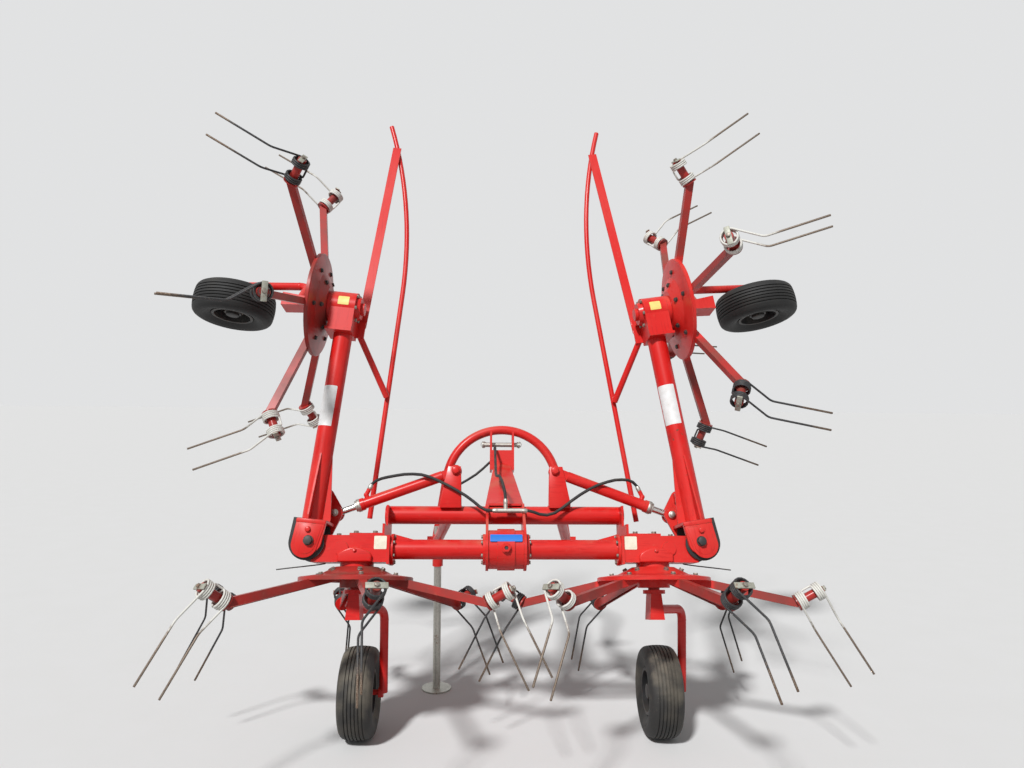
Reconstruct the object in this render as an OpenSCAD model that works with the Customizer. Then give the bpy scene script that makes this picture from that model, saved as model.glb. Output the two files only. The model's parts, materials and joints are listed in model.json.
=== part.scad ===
// Four-rotor mounted hay tedder, outer arms folded up, standing on its inner wheels and its parking stand.
// Frame axes: X to the right, Y forward, Z up. The frame leans forward about the line of the inner rotors.

/* [Stance] */
// Forward lean of the frame, degrees
tilt = 15.7; // [13:0.1:18]
// Height of the inner discs' centres above the ground
disc_h = 790; // [760:5:840]
// Fold of the left arm above the frame's level, degrees
fold_left = 95.5; // [92:0.5:100]
// Fold of the right arm above the frame's level, degrees
fold_right = 98.5; // [92:0.5:100]
// Sideways place of the outline's middle
origin_x = -31.95; // [-60:0.01:60]
// Fore and aft place of the outline's middle
origin_y = 132.6; // [-400:0.01:400]

/* [Frame] */
// Distance of an inner rotor's axis from the middle
rotor_x = 650; // [640:5:680]
// Distance of a fold hinge from the middle
hinge_x = 845; // [835:5:880]
// Height of a fold hinge above the disc plane
hinge_n = 148; // [142:1:156]
// Fold hinge to outer rotor axis
arm_l = 1107; // [1080:1:1160]
// Height of the main beam above the disc plane
beam_n = 118; // [110:1:124]
// Outer diameter of the main beam
beam_d = 86; // [76:1:96]
// Outer diameter of the cross tube
cross_d = 83; // [70:1:90]
// Half length of the cross tube
cross_half = 552; // [545:1:560]
// Cross tube ahead of the beam
cross_f = 150; // [140:1:165]
// Cross tube above the disc plane
cross_n = 285; // [275:1:295]
// Thickness of the frame's plates
plate_t = 12; // [8:1:14]

/* [Gearboxes] */
// Diameter of the middle gearbox
middle_d = 168; // [150:1:180]
// Half width of the middle gearbox
middle_half = 77; // [70:1:80]
// Diameter of the drive input shaft
input_d = 34.9; // [30:0.1:40]
// Height of a rotor gearbox's floor above its disc plane
case_floor = 60; // [56:1:66]
// Height of a rotor gearbox's roof above its disc plane
case_roof = 174; // [166:1:180]
// Half width of a rotor gearbox
case_half = 70; // [60:1:76]
// Diameter of the fixed axle through a rotor
king_d = 50; // [40:1:56]

/* [Rotors] */
// Radius of a rotor's disc
disc_r = 246; // [220:1:270]
// Arms on a rotor
arm_count = 6; // [5:1:7]
// Rotor axis to the middle of a coil pair
coil_r = 644; // [630:1:660]
// Drop of the coil pair below the disc plane
coil_drop = 81; // [70:1:95]
// Rise of the coil pair's axis, degrees
coil_rise = 28; // [22:1:32]
// Half spacing of the two coils of a pair
coil_half = 39; // [36:1:44]
// Outer diameter of a coil
coil_d = 78; // [66:1:84]
// Diameter of the spring wire
wire_d = 9; // [7:0.5:10]
// Length of a tine's first reach
tine_1 = 135; // [120:5:160]
// Length of a tine's second reach
tine_2 = 250; // [220:5:270]
// Lean of the first reach, degrees
tine_lean_1 = 36; // [25:1:40]
// Lean of the second reach, degrees
tine_lean_2 = 1; // [0:1:6]
// Height of a rotor arm's channel
bar_h = 34; // [30:1:40]
// Width of a rotor arm's channel
bar_t = 30; // [24:1:36]
// Wall of a rotor arm's channel
bar_wall = 6; // [4:1:8]
// Diameter of the core that a coil pair sits on
core_d = 38; // [30:1:46]
// Turn of the inner rotors at rest, degrees
phase_inner = 15; // [5:1:25]
// Turn of the outer left rotor at rest, degrees
phase_outer_left = -18; // [-25:1:-5]
// Turn of the outer right rotor at rest, degrees
phase_outer_right = 3; // [0:1:15]

/* [Wheels] */
// Tyre outer diameter
tyre_d = 410; // [390:1:420]
// Tyre width
tyre_w = 160; // [140:1:170]
// Diameter where the tyre sits on its rim
rim_d = 210; // [190:1:220]
// Diameter of a wheel axle
axle_d = 25; // [20:1:30]
// Diameter of a wheel leg's tube
leg_d = 40; // [34:1:44]
// Inner wheels ahead of the rotor line
wheel_f_inner = 370; // [350:5:420]
// Outer wheels ahead of the rotor line
wheel_f_outer = 300; // [280:5:320]

/* [Fold cylinders] */
// Cylinder plane ahead of the beam
cyl_f = 117; // [115:0.5:118]
// Barrel pin from the middle
cyl_pin_x = 231.5; // [225:0.5:240]
// Barrel pin above the disc plane
cyl_pin_n = 485.5; // [480:0.5:492]
// Outer diameter of the barrel
barrel_d = 50; // [44:1:56]
// Length of the barrel from its pin
barrel_l = 475; // [460:1:490]
// Diameter of the piston rod
rod_d = 30; // [25:1:31]
// Length of the piston rod from its eye
rod_l = 375; // [365:1:385]
// Lug pin from the fold hinge
lug_r = 155; // [150:1:160]
// Lug pin above the arm's line, degrees
lug_angle = 21; // [18:0.5:24]
// Diameter of the cylinder pins
pin_d = 24; // [20:1:25]
// Diameter of the fold hinge pin
hinge_pin_d = 30; // [26:1:34]

/* [Headstock] */
// Headstock plane ahead of the beam
hitch_f = 850; // [830:5:870]
// Radius of the headstock arch
arch_r = 310; // [300:1:320]
// Centre of the arch above the disc plane
arch_n = 540; // [530:1:550]
// Diameter of the arch tube
arch_d = 50; // [44:1:54]
// Lower hitch pins above the disc plane
lower_n = 200; // [180:1:220]
// Diameter of the lower hitch pins
lower_d = 28; // [22:0.5:29]
// Shoulders of the lower hitch pins from the middle
lower_x = 412.5; // [410:0.5:420]
// Top link pin above the disc plane
top_n = 765; // [758:1:770]
// Diameter of the top link pin
top_d = 25.4; // [19:0.1:26]
// Diameter of the hitch struts
strut_d = 50; // [44:1:54]

/* [Guards and stand] */
// Guard plane ahead of the beam
guard_f = 250; // [240:5:265]
// Guard rod above the arm's hinge line
guard_u = 190; // [185:1:200]
// Diameter of the guard rod
guard_d = 25; // [20:1:28]
// Parking stand to the left of the middle
stand_x = 345; // [335:1:355]
// Parking stand ahead of the rotor line, level
stand_y = 790; // [770:5:800]
// Diameter of the parking stand's leg
stand_d = 40; // [34:1:44]
// Diameter of the parking stand's foot
foot_d = 157; // [120:1:170]

/* [Hidden] */
$fn = 48;
paint = "firebrick";
steel = "silver";
black = "dimgray";

// Running clearance at pins, rods and seats
fit = 0.3;
side_plate_x = middle_half + fit + plate_t / 2;
case_in = side_plate_x + plate_t / 2 + fit;
case_x0 = rotor_x - 147;
case_x1 = rotor_x + 140;
ear_in = case_half + 14;
ear_out = ear_in + 16;
eye_half = cyl_f - ear_out - 2 * fit;
lug_front = cyl_f + eye_half + fit;
lug_t = 12;
// Round end of an arm's hinge ear
ear_r = 54;
outer_drop = hinge_n;
hub_top = case_floor - 18;
hub_bottom = -45;
// End of a coil pair's windings, from the pair's middle
coil_end = coil_half + 2 * wire_d + 0.2 + fit;
boss_d = 2 * case_half + 8;
tube_drop = hinge_n - beam_n - 8;
case_end = 139;
wheel_r = tyre_d / 2;
wheel_drop_inner = (disc_h - wheel_r - wheel_f_inner * sin(tilt)) / cos(tilt);
wheel_drop_outer = (disc_h - wheel_r - wheel_f_outer * sin(tilt)) / cos(tilt);
leg_off = tyre_w / 2 + 8 + leg_d / 2;
leg_run_n = -135;
wheel_dx_left = 14;
wheel_dx_right = 80;
wheel_dx_outer = 65;
// Bend radius of a wheel leg's tube
leg_bend = 60;
arch_side = 81;
// Guard rod: where it starts and bends along the arm, and the radius and sweep of its bent end
guard_foot = 150;
guard_bend = 1300;
guard_r = 2640;
guard_sweep = 22;
guard_reach_high = 2150;
guard_reach_low = 745;
brace_d = 30;
angle_w = 44;
angle_t = 6;
arch_foot_x = arch_r * sin(arch_side) + (arch_n + arch_r * cos(arch_side) - lower_n) / tan(arch_side);
// Top bracket: its side plates and rear plate, from the headstock plane and the disc plane
ear_x = 56;
ear_rear = hitch_f - 58;
ear_foot = arch_n + 70;
ear_rear_top = ear_foot + 112;
// Folded sheet strut from the cross tube to the top bracket's rear plate
tower_half = side_plate_x - plate_t / 2 - 2;
tower_from = [0, cross_f + 25, cross_n + cross_d / 2 + 6];
tower_to = [0, ear_rear + 8, ear_foot + 34];
// Barrel's start past the bracket's plates, and half the thickness of its flat eye
barrel_start = 66;
barrel_eye = 16.4;
// Stand's socket and tube, above the ground
socket_foot = disc_h - 130;
socket_h = 170;
stand_h = disc_h + 80;
hose_d = 14;
// Hose junction, ahead and above, in the leaning frame
tee_f = 58;
tee_n = 296;
// Free hoses: each point is across, ahead and above, in the leaning frame
hose_left_route = [[-630, 117, 401], [-620, 117, 423], [-600, 113, 439], [-573, 104, 448], [-545, 94, 453],
    [-506, 86, 459], [-467, 80, 464], [-428, 77, 465], [-389, 75, 462], [-349, 74, 451], [-309, 74, 434],
    [-266, 74, 413], [-224, 73, 390], [-184, 70, 366], [-147, 66, 339], [-118, 62, 314], [-92, 59, 300],
    [-64, 58, 296], [-36, 58, 296]];
hose_right_route = [[76, 58, 296], [104, 58, 296], [130, 60, 290], [156, 64, 281], [190, 69, 278],
    [226, 72, 288], [264, 74, 313], [306, 74, 345], [348, 74, 374], [392, 75, 400], [434, 77, 420],
    [477, 80, 434], [512, 85, 443], [545, 92, 446], [575, 102, 446], [600, 112, 438], [619, 117, 419],
    [629, 117, 397]];
hose_supply_route = [[0, 58, 326], [0, 58, 350], [-3, 62, 380], [-9, 78, 412], [-16, 104, 440],
    [-22, 138, 460], [-27, 176, 474], [-31, 218, 483], [-34, 262, 489], [-36, 306, 496], [-38, 350, 506],
    [-39, 394, 520], [-40, 436, 538], [-40, 476, 560], [-40, 516, 583], [-40, 556, 607], [-40, 596, 631],
    [-40, 636, 656], [-40, 674, 682], [-40, 710, 708], [-40, 746, 728], [-40, 784, 738], [-41, 824, 741],
    [-42, 862, 734], [-44, 896, 716], [-62, 914, 680], [-104, 916, 640], [-146, 916, 604], [-192, 916, 574],
    [-238, 916, 547], [-280, 917, 519], [-310, 920, 485], [-328, 926, 446], [-338, 935, 404],
    [-342, 946, 360], [-343, 958, 316], [-343, 970, 272], [-343, 982, 229]];

function fold(s) = s < 0 ? fold_left : fold_right;
// A point on the guard rod's middle line, by its distance along the arm
function guard_point(a) = [a, guard_f,
    guard_u - (a > guard_bend ? guard_r - sqrt(guard_r ^ 2 - (a - guard_bend) ^ 2) : 0)];
function phase_outer(s) = s < 0 ? phase_outer_left : phase_outer_right;
// Unit vector at an angle in a plane
function turn(a) = [cos(a), sin(a)];
// Lug pin at rest, across and above, on the right side's scheme
function lug_pin(s) = [hinge_x, hinge_n] + lug_r * turn(fold(s) + lug_angle);
function cyl_vector(s) = lug_pin(s) - [cyl_pin_x, cyl_pin_n];
function cyl_length(s) = norm(cyl_vector(s));
function cyl_slope(s) = -atan2(cyl_vector(s).y, cyl_vector(s).x);

// The leaning frame, its origin between the inner discs
module lean() translate([-origin_x, -origin_y, disc_h]) rotate([-tilt, 0, 0]) children();
module side(s) {
    if (s > 0) children();
    else mirror([1, 0, 0]) children();
}
module on_frame(s) lean() side(s) children();
// Along a folded arm: X outward from the hinge, Y forward, Z to the arm's upper side
module on_arm(s) on_frame(s) translate([hinge_x, 0, hinge_n]) rotate([0, -fold(s), 0]) children();
module at_rotor(s, outer) {
    if (outer) on_arm(s) translate([arm_l, 0, -outer_drop]) children();
    else on_frame(s) translate([rotor_x, 0, 0]) children();
}
// On the parking stand's upright line
module at_stand(z) translate([-origin_x - stand_x, stand_y - origin_y, z]) children();
// Along a fold cylinder: X from the barrel's pin towards the rod's eye
module on_cylinder(s) on_frame(s) translate([cyl_pin_x, cyl_f, cyl_pin_n])
    rotate([0, cyl_slope(s), 0]) children();

module span(lo, hi) translate(lo) cube(hi - lo);
module along_x(x0, x1, d) translate([x0, 0, 0]) rotate([0, 90, 0]) cylinder(d = d, h = x1 - x0);
module along_y(y0, y1, d) translate([0, y1, 0]) rotate([90, 0, 0]) cylinder(d = d, h = y1 - y0);
// A round bar from a to b
module bar(a, b, d) {
    v = b - a;
    translate(a) rotate([0, acos(v.z / norm(v)), atan2(v.y, v.x)]) cylinder(d = d, h = norm(v));
}
// Round bars through a list of points, with a ball at each knee
module bent_bar(points, d, knee = 1.03) {
    for (i = [1 : len(points) - 1]) union() {
        bar(points[i - 1], points[i], d);
        if (i > 1) translate(points[i - 1]) sphere(d = d * knee);
    }
}
// A tube from a over the knee at b to c, bent there to a radius
module bent_tube(a, b, c, d, bend) {
    p = (b - a) / norm(b - a);
    q = (c - b) / norm(c - b);
    swing = acos(p * q);
    cut = bend * tan(swing / 2);
    sideways = (q - (p * q) * p) / norm(q - (p * q) * p);
    start = b - cut * p;
    u = -sideways;
    w = cross(u, p);
    bar(a, start, d);
    translate(start + bend * sideways) rotate([atan2(p.z, w.z), -asin(u.z), atan2(u.y, u.x)])
        rotate_extrude(angle = swing) translate([bend, 0]) circle(d = d);
    for (end = [start, b + cut * q]) translate(end) sphere(d = d * 1.03);
    bar(b + cut * q, c, d);
}
// Flat strap: two round ends and their common tangents, across X and above Z, extruded along Y
module strap(a, ra, b, rb, y0, y1) {
    v = b - a;
    open = acos((ra - rb) / norm(v));
    aim = atan2(v.y, v.x);
    up = turn(aim + open);
    down = turn(aim - open);
    translate([0, y1, 0]) rotate([90, 0, 0]) linear_extrude(y1 - y0) {
        translate(a) circle(ra);
        translate(b) circle(rb);
        polygon([a + ra * up, b + rb * up, b + rb * down, a + ra * down]);
    }
}
// Tube swept through a route, one ring at each point, its sides set out from a direction across it
module hose(route, d, level) {
    sides = 10;
    n = len(route);
    function way(i) = route[min(i + 1, n - 1)] - route[max(i - 1, 0)];
    function flat(i) = cross(way(i), level) / norm(cross(way(i), level));
    function steep(i) = cross(flat(i), way(i)) / norm(way(i));
    ring = [for (i = [0 : n - 1], k = [0 : sides - 1])
        route[i] + d / 2 * (cos(360 * k / sides) * flat(i) + sin(360 * k / sides) * steep(i))];
    walls = [for (i = [0 : n - 2], k = [0 : sides - 1])
        [i * sides + k, i * sides + (k + 1) % sides, (i + 1) * sides + (k + 1) % sides, (i + 1) * sides + k]];
    ends = [[for (k = [sides - 1 : -1 : 0]) k], [for (k = [0 : sides - 1]) (n - 1) * sides + k]];
    polyhedron(ring, concat(walls, ends));
}

module centre_gearbox() color(paint) lean() translate([0, 0, beam_n]) {
    difference() {
        union() {
            along_x(-middle_half, middle_half, middle_d);
            along_y(0, 215, 112);
            translate([0, 200, 0]) along_y(0, 16, 130);
            along_y(-middle_d / 2 - 14, 0, 44);
            along_x(-38, 38, middle_d + 12);
        }
        along_y(150, 230, input_d + 2 * fit);
    }
}

module input_shaft() color(steel) lean() translate([0, 0, beam_n]) {
    along_y(152, 300, input_d);
    along_y(216 + fit, 222, 60);
}

module side_plates() color(paint) lean() for (s = [-1, 1]) translate([s * side_plate_x, 0, 0])
    rotate([0, 0, 90]) difference() {
        strap([0, beam_n], middle_d / 2 + 8, [cross_f, cross_n], cross_d / 2 + 14, -plate_t / 2, plate_t / 2);
        translate([cross_f, 0, cross_n]) along_y(-plate_t, plate_t, cross_d + 2 * fit);
    }

module beam(s) color(paint) on_frame(s) translate([0, 0, beam_n]) {
    along_x(case_in, case_x0 - fit, beam_d);
    along_x(case_in, case_in + 12, 134);
    along_x(case_x0 - 12 - fit, case_x0 - fit, 134);
    translate([0, -4, 0]) rotate([90, 0, 0]) mirror([0, 0, 1]) linear_extrude(8)
        polygon([[case_x0 - 110, beam_d / 2 - 4], [case_x0 - 10, beam_d / 2 - 4], [case_x0 - 10, 66]]);
}

module cross_tube() color(paint) lean() translate([0, cross_f, cross_n])
    along_x(-cross_half, cross_half, cross_d);

module seat_plate(s) color(paint) on_frame(s) {
    difference() {
        span([case_x0 + 26, -60, case_roof + fit], [case_x0 + 36, cross_f + 50, cross_n + 34]);
        translate([0, cross_f, cross_n]) along_x(case_x0, case_x0 + 60, cross_d + 2 * fit);
        translate([case_x0, -61, cross_n - 60]) cube([60, 110, 120]);
    }
    span([case_x0 + 36, -60, case_roof + fit], [rotor_x + 30, cross_f + 50, case_roof + 10 + fit]);
}

module housing(s) color(paint) on_frame(s) {
    difference() {
        union() {
            translate([0, case_half, 0]) rotate([90, 0, 0]) linear_extrude(2 * case_half)
                polygon([[case_x0 + 12, case_floor], [hinge_x - 6, case_floor], [hinge_x - 49, case_roof],
                    [case_x0 + 12, case_roof]]);
            span([case_x0, -case_half - 6, case_floor - 8], [case_x0 + 12, case_half + 6, case_roof]);
            span([case_x1 - 1, -case_half + 8, case_floor + 44], [hinge_x, case_half - 8, case_roof - 6]);
            translate([hinge_x, 0, hinge_n]) along_y(-ear_in + 1, ear_in - 1, 70);
            translate([rotor_x, 0, case_floor]) cylinder(d = boss_d, h = beam_n - case_floor);
            translate([rotor_x, 0, beam_n]) cylinder(d1 = boss_d, d2 = boss_d - 20, h = 16);
            translate([rotor_x, 0, hub_top]) cylinder(d = 145, h = case_floor - hub_top + 1);
            translate([rotor_x, 0, hub_bottom - 9]) cylinder(d = king_d, h = hub_top - hub_bottom + 10);
            translate([rotor_x + 60, -case_half + 1, beam_n]) along_y(-9, 1, 60);
        }
        translate([hinge_x, 0, hinge_n]) along_y(-ear_out, ear_out, hinge_pin_d + 2 * fit);
    }
}

// Flared block under a rotor, from its foot up to a height
module swivel_prism(half_top, half_foot, y0, y1, top) translate([0, y1, 0]) rotate([90, 0, 0])
    linear_extrude(y1 - y0) polygon([[-half_top, top], [half_top, top], [half_foot, leg_run_n - 44],
        [-half_foot, leg_run_n - 44]]);

// Fixed axle foot under a rotor and the leg that carries its wheel
module leg_under(dx, leg_side, ahead, drop) {
    leg_x = dx + leg_side * leg_off;
    plate_top = hub_bottom - 9 - fit;
    boss_x = leg_x - leg_side * 22;
    tip_x = dx - leg_side * 58;
    translate([0, 0, plate_top - 16]) cylinder(d = 96, h = 16);
    difference() {
        swivel_prism(22, 32, -46, 62, plate_top - 15);
        swivel_prism(15, 25, -39, 63, plate_top - 23);
    }
    span([-26, 30, leg_run_n - 26], [26, 62, leg_run_n + 26]);
    bent_tube([0, 46, leg_run_n], [leg_x, ahead - 90, leg_run_n], [leg_x, ahead, -drop - 0.01],
        leg_d, leg_bend);
    translate([0, ahead, -drop]) {
        along_x(min(leg_x, boss_x), max(leg_x, boss_x), leg_d + 6);
        along_x(min(leg_x, tip_x), max(leg_x, tip_x), axle_d);
    }
}

module wheel_leg(s) color(paint) at_rotor(s, false)
    leg_under(s < 0 ? wheel_dx_left : wheel_dx_right, s, wheel_f_inner, wheel_drop_inner);

module tower_strut() color(paint) lean() {
    run = norm(tower_to - tower_from);
    rise = atan2(tower_to.z - tower_from.z, tower_to.y - tower_from.y);
    difference() {
        translate(tower_from) rotate([rise, 0, 0]) for (m = [0, 1]) mirror([m, 0, 0]) rotate([0, 14, 0])
            linear_extrude(8)
                polygon([[-3, 0], [tower_half, 0], [tower_half, 16], [94, 36], [45, run], [-3, run]]);
        span([-100, ear_rear - fit, ear_foot - 100], [100, hitch_f, arch_n + arch_r]);
    }
    span([-tower_half, cross_f - 30, cross_n + cross_d / 2 + fit],
        [tower_half, cross_f + 50, cross_n + cross_d / 2 + 10]);
}

module headstock_arch() color(paint) lean() translate([0, hitch_f, 0]) {
    translate([0, 0, arch_n]) rotate([90, 0, 0]) rotate([0, 0, 90 - arch_side])
        rotate_extrude(angle = 2 * arch_side) translate([arch_r, 0]) circle(d = arch_d);
    for (s = [-1, 1]) {
        knee = [s * arch_r * sin(arch_side), 0, arch_n + arch_r * cos(arch_side)];
        translate(knee) sphere(d = arch_d * 1.03);
        bar(knee, [s * arch_foot_x, 0, lower_n - 30], arch_d);
    }
}

module top_bracket() color(black) lean() difference() {
    union() {
        for (x = [-ear_x - 12, ear_x])
            span([x, ear_rear, ear_foot], [x + 12, hitch_f + 40, arch_n + arch_r - 20]);
        span([-ear_x - 1, ear_rear, ear_foot], [ear_x + 1, ear_rear + 10, ear_rear_top]);
    }
    translate([0, hitch_f, arch_n]) rotate([90, 0, 0])
        rotate_extrude() translate([arch_r, 0]) circle(d = arch_d + 2 * fit);
    translate([0, hitch_f + 5, top_n]) along_x(-80, 80, top_d + 2 * fit);
}

module top_pin() color(steel) lean() translate([0, hitch_f + 5, top_n]) {
    along_x(-105, 105, top_d);
    along_x(-112, -104, 38);
}

module hitch_strut(s) color(paint) difference() {
    union() {
        on_frame(s) {
            bar([262, cross_f + cross_d / 2 - 4, cross_n - 4], [arch_foot_x - 6, hitch_f - 6, lower_n + 4],
                strut_d);
            translate([arch_foot_x, hitch_f, lower_n]) {
                span([-34, -50, -45], [-24, 50, 45]);
                span([26, -50, -45], [38, 50, 45]);
                span([-34, -50, -45], [38, -38, 45]);
            }
        }
        if (s < 0) at_stand(socket_foot) cylinder(d = stand_d + 16, h = socket_h);
    }
    on_frame(s) translate([0, cross_f, cross_n]) along_x(0, cross_half, cross_d + 2 * fit);
    on_frame(s) bar([arch_r * sin(arch_side), hitch_f, arch_n + arch_r * cos(arch_side)],
        [arch_foot_x, hitch_f, lower_n - 30.3], arch_d + 2 * fit);
    on_frame(s) translate([0, hitch_f, lower_n]) along_x(arch_foot_x + 25, arch_foot_x + 60, lower_d + 2 * fit);
    if (s < 0) at_stand(socket_foot - 60) cylinder(d = stand_d + 2 * fit, h = socket_h + 120);
}

module lower_pins() color(steel) for (s = [-1, 1]) on_frame(s) translate([0, hitch_f, lower_n]) {
    along_x(arch_foot_x + arch_d / 2 + 2, lower_x + 80, lower_d);
    along_x(arch_foot_x + 38 + fit, lower_x, lower_d + 16);
}

module cylinder_bracket(s) color(paint) on_frame(s) {
    difference() {
        union() {
            span([cyl_pin_x - 70, cyl_f - barrel_eye - 10.3, cross_n + 28],
                [cyl_pin_x + 70, cross_f + 44, cross_n + cross_d / 2 + 9]);
            for (y = [cyl_f - barrel_eye - fit, cyl_f + barrel_eye + fit + 10]) translate([0, y, 0])
                rotate([90, 0, 0]) linear_extrude(10)
                    polygon([[cyl_pin_x - 70, cross_n + 44], [cyl_pin_x + 70, cross_n + 44],
                        [cyl_pin_x + 32, cyl_pin_n + 22], [cyl_pin_x - 32, cyl_pin_n + 22]]);
        }
        translate([0, cross_f, cross_n]) along_x(0, cross_half, cross_d + 2 * fit);
    }
    translate([cyl_pin_x, cyl_f, cyl_pin_n]) along_y(-36, 36, pin_d);
}

module cylinder_barrel(s) color(paint) on_cylinder(s) difference() {
    union() {
        along_y(-barrel_eye, barrel_eye, 56);
        span([0, -barrel_eye, -20], [barrel_start + 6, barrel_eye, 20]);
        along_x(barrel_start, barrel_l, barrel_d);
        along_x(barrel_l - 30, barrel_l, barrel_d + 8);
        translate([barrel_l - 50, 0, 0]) cylinder(d = 22, h = 36);
        translate([barrel_l - 50, 0, 36]) sphere(d = 24);
        translate([barrel_l - 50, 0, 36]) rotate([0, -45, 0]) cylinder(d = 20, h = 30);
    }
    along_y(-20, 20, pin_d + 2 * fit);
    along_x(cyl_length(s) - rod_l - 6, barrel_l + 10, rod_d + 2 * fit);
}

module hose_tee() color(steel) lean() {
    translate([0, tee_f, tee_n]) {
        along_x(-36, 76, 22);
        cylinder(d = 20, h = 30);
    }
    difference() {
        span([10, tee_f, tee_n - 6], [40, cross_f - 20, tee_n + 6]);
        translate([0, cross_f, cross_n]) along_x(-60, 80, cross_d + 2 * fit);
    }
}

module hose_left() color(black) lean() hose(hose_left_route, hose_d, [0, 1, 0]);
module hose_right() color(black) lean() hose(hose_right_route, hose_d, [0, 1, 0]);
module hose_supply() color(black) lean() hose(hose_supply_route, hose_d, [1, 0, 0]);
// Quick coupler on the supply hose's free end
module hose_coupler() color(steel) lean() {
    last = len(hose_supply_route) - 1;
    end = hose_supply_route[last];
    way = (end - hose_supply_route[last - 1]) / norm(end - hose_supply_route[last - 1]);
    bar(end, end + 30 * way, 20);
    bar(end + 29 * way, end + 62 * way, 28);
    bar(end + 61 * way, end + 74 * way, 18);
}

module arm(s) color(paint) on_arm(s) {
    difference() {
        union() {
            translate([0, 0, -tube_drop]) along_x(90, arm_l - case_end, 89);
            span([80, -ear_out, -62], [92, ear_out, 62]);
            for (y = [-ear_in, ear_out]) translate([0, y, 0]) rotate([90, 0, 0]) linear_extrude(16) {
                circle(ear_r);
                polygon([[-8, -ear_r + 0.6], [90, -62], [90, 62], [-8, ear_r - 0.6]]);
            }
            strap([0, 0], 40, lug_r * turn(lug_angle), 34, ear_in, ear_out);
            strap(lug_r * turn(lug_angle), 34, [225, 0], 30, lug_front, lug_front + lug_t);
            span([200, 0, -tube_drop - 20], [240, lug_front + 6, 20]);
            for (m = [0, 1]) mirror([0, m, 0])
                translate([90, 4, -tube_drop]) linear_extrude(8, center = true)
                    polygon([[0, 30], [0, ear_out - 6], [20, ear_out - 6], [300, 44], [300, 30]]);
            translate([90, 4, -tube_drop]) rotate([90, 0, 0]) linear_extrude(8)
                polygon([[0, 30], [0, 80], [20, 80], [300, 44], [300, 30]]);
        }
        along_y(-ear_out - 1, ear_out + 1, hinge_pin_d + 2 * fit);
    }
    translate([lug_r * cos(lug_angle), 0, lug_r * sin(lug_angle)]) {
        along_y(ear_in - 7, ear_in + 1, 38);
        along_y(lug_front + lug_t - 1, lug_front + lug_t + 7, 38);
    }
    along_y(-ear_out - 8, ear_out + 0.1, hinge_pin_d);
    translate([0, -ear_out - 8, 0]) along_y(-2, 8, 44);
}

module outer_gearbox(s) color(paint) at_rotor(s, true) {
    span([-case_end + 12 + fit, -case_half, case_floor], [0, case_half, case_roof]);
    span([-case_end + fit, -case_half - 6, case_floor - 8], [-case_end + 12 + fit, case_half + 6, case_roof]);
    translate([0, 0, case_floor]) cylinder(d = boss_d, h = case_roof - case_floor);
    translate([0, 0, case_roof - 1]) cylinder(d1 = 116, d2 = 104, h = 22);
    translate([0, 0, case_roof + 20]) cylinder(d = 60, h = 16);
    translate([0, 0, hub_top]) cylinder(d = 145, h = case_floor - hub_top + 1);
    translate([0, 0, hub_bottom - 9]) cylinder(d = king_d, h = hub_top - hub_bottom + 10);
}

module guard_rod(s) color(paint) on_arm(s) translate([0, guard_f, guard_u]) {
    along_x(guard_foot, guard_bend, guard_d);
    translate([guard_bend, 0, 0]) sphere(d = guard_d * 1.03);
    translate([guard_bend, 0, -guard_r]) rotate([90, 0, 0]) rotate([0, 0, 90 - guard_sweep])
        rotate_extrude(angle = guard_sweep) translate([guard_r, 0]) circle(d = guard_d);
}

// Guard braces: a foot plate on the outer gearbox's front, a round brace to the rod's foot end and an
// angle bar to its bent end
module guard_struts(s) color(paint) on_arm(s) {
    low_tip = guard_point(guard_reach_low) - [0, (guard_d + brace_d) / 2 + fit, 0];
    high_tip = guard_point(guard_reach_high) - [0, guard_d / 2 + fit + angle_t, 0];
    high_base = [arm_l - 64, case_half + 9, 42];
    v = high_tip - high_base;
    span([arm_l - 122, case_half + fit, -44], [arm_l - 38, case_half + 10, 62]);
    bar([arm_l - 108, case_half + fit + brace_d / 2 + 1, 40], low_tip, brace_d);
    translate(high_base) rotate([0, acos(v.z / norm(v)), atan2(v.y, v.x)]) {
        linear_extrude(norm(v)) translate([-angle_w / 2, 0]) square([angle_w, angle_t]);
        linear_extrude(norm(v) - 40) translate([angle_w / 2 - angle_t, 0]) square([angle_t, angle_w * 0.7]);
    }
}

module outer_leg(s) color(paint) at_rotor(s, true)
    leg_under(wheel_dx_outer, 1, wheel_f_outer, wheel_drop_outer);

// Dished disc with a hub below and a turned-down rim, and its arms
module rotor(phase) {
    rotate_extrude() polygon([[king_d / 2 + fit, hub_bottom], [70, hub_bottom], [70, 30], [91, 34], [153, 4],
        [disc_r - 8, -8], [disc_r - 6, -18], [disc_r, -18], [disc_r, -4], [disc_r - 4, -1], [156, 11],
        [94, hub_top - fit], [king_d / 2 + fit, hub_top - fit]]);
    for (k = [0 : arm_count - 1]) rotate([0, 0, phase + 360 * k / arm_count]) {
        in_end = [-coil_r, -coil_drop] + (coil_end + 4) * [cos(coil_rise), -sin(coil_rise)];
        difference() {
            bar_run(in_end);
            translate([0, -coil_r, -coil_drop]) rotate([-coil_rise, 0, 0])
                along_y(-coil_half - 60, coil_end, coil_d + 4);
        }
        translate([0, -coil_r, -coil_drop]) rotate([-coil_rise, 0, 0]) {
            along_y(-coil_end - 1, coil_end + 1, core_d);
            span([-coil_d / 2, -coil_end - 6, -11], [coil_d / 2, -coil_end, 11]);
            along_y(coil_end, coil_end + 6, coil_d - 8);
        }
    }
}

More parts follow.
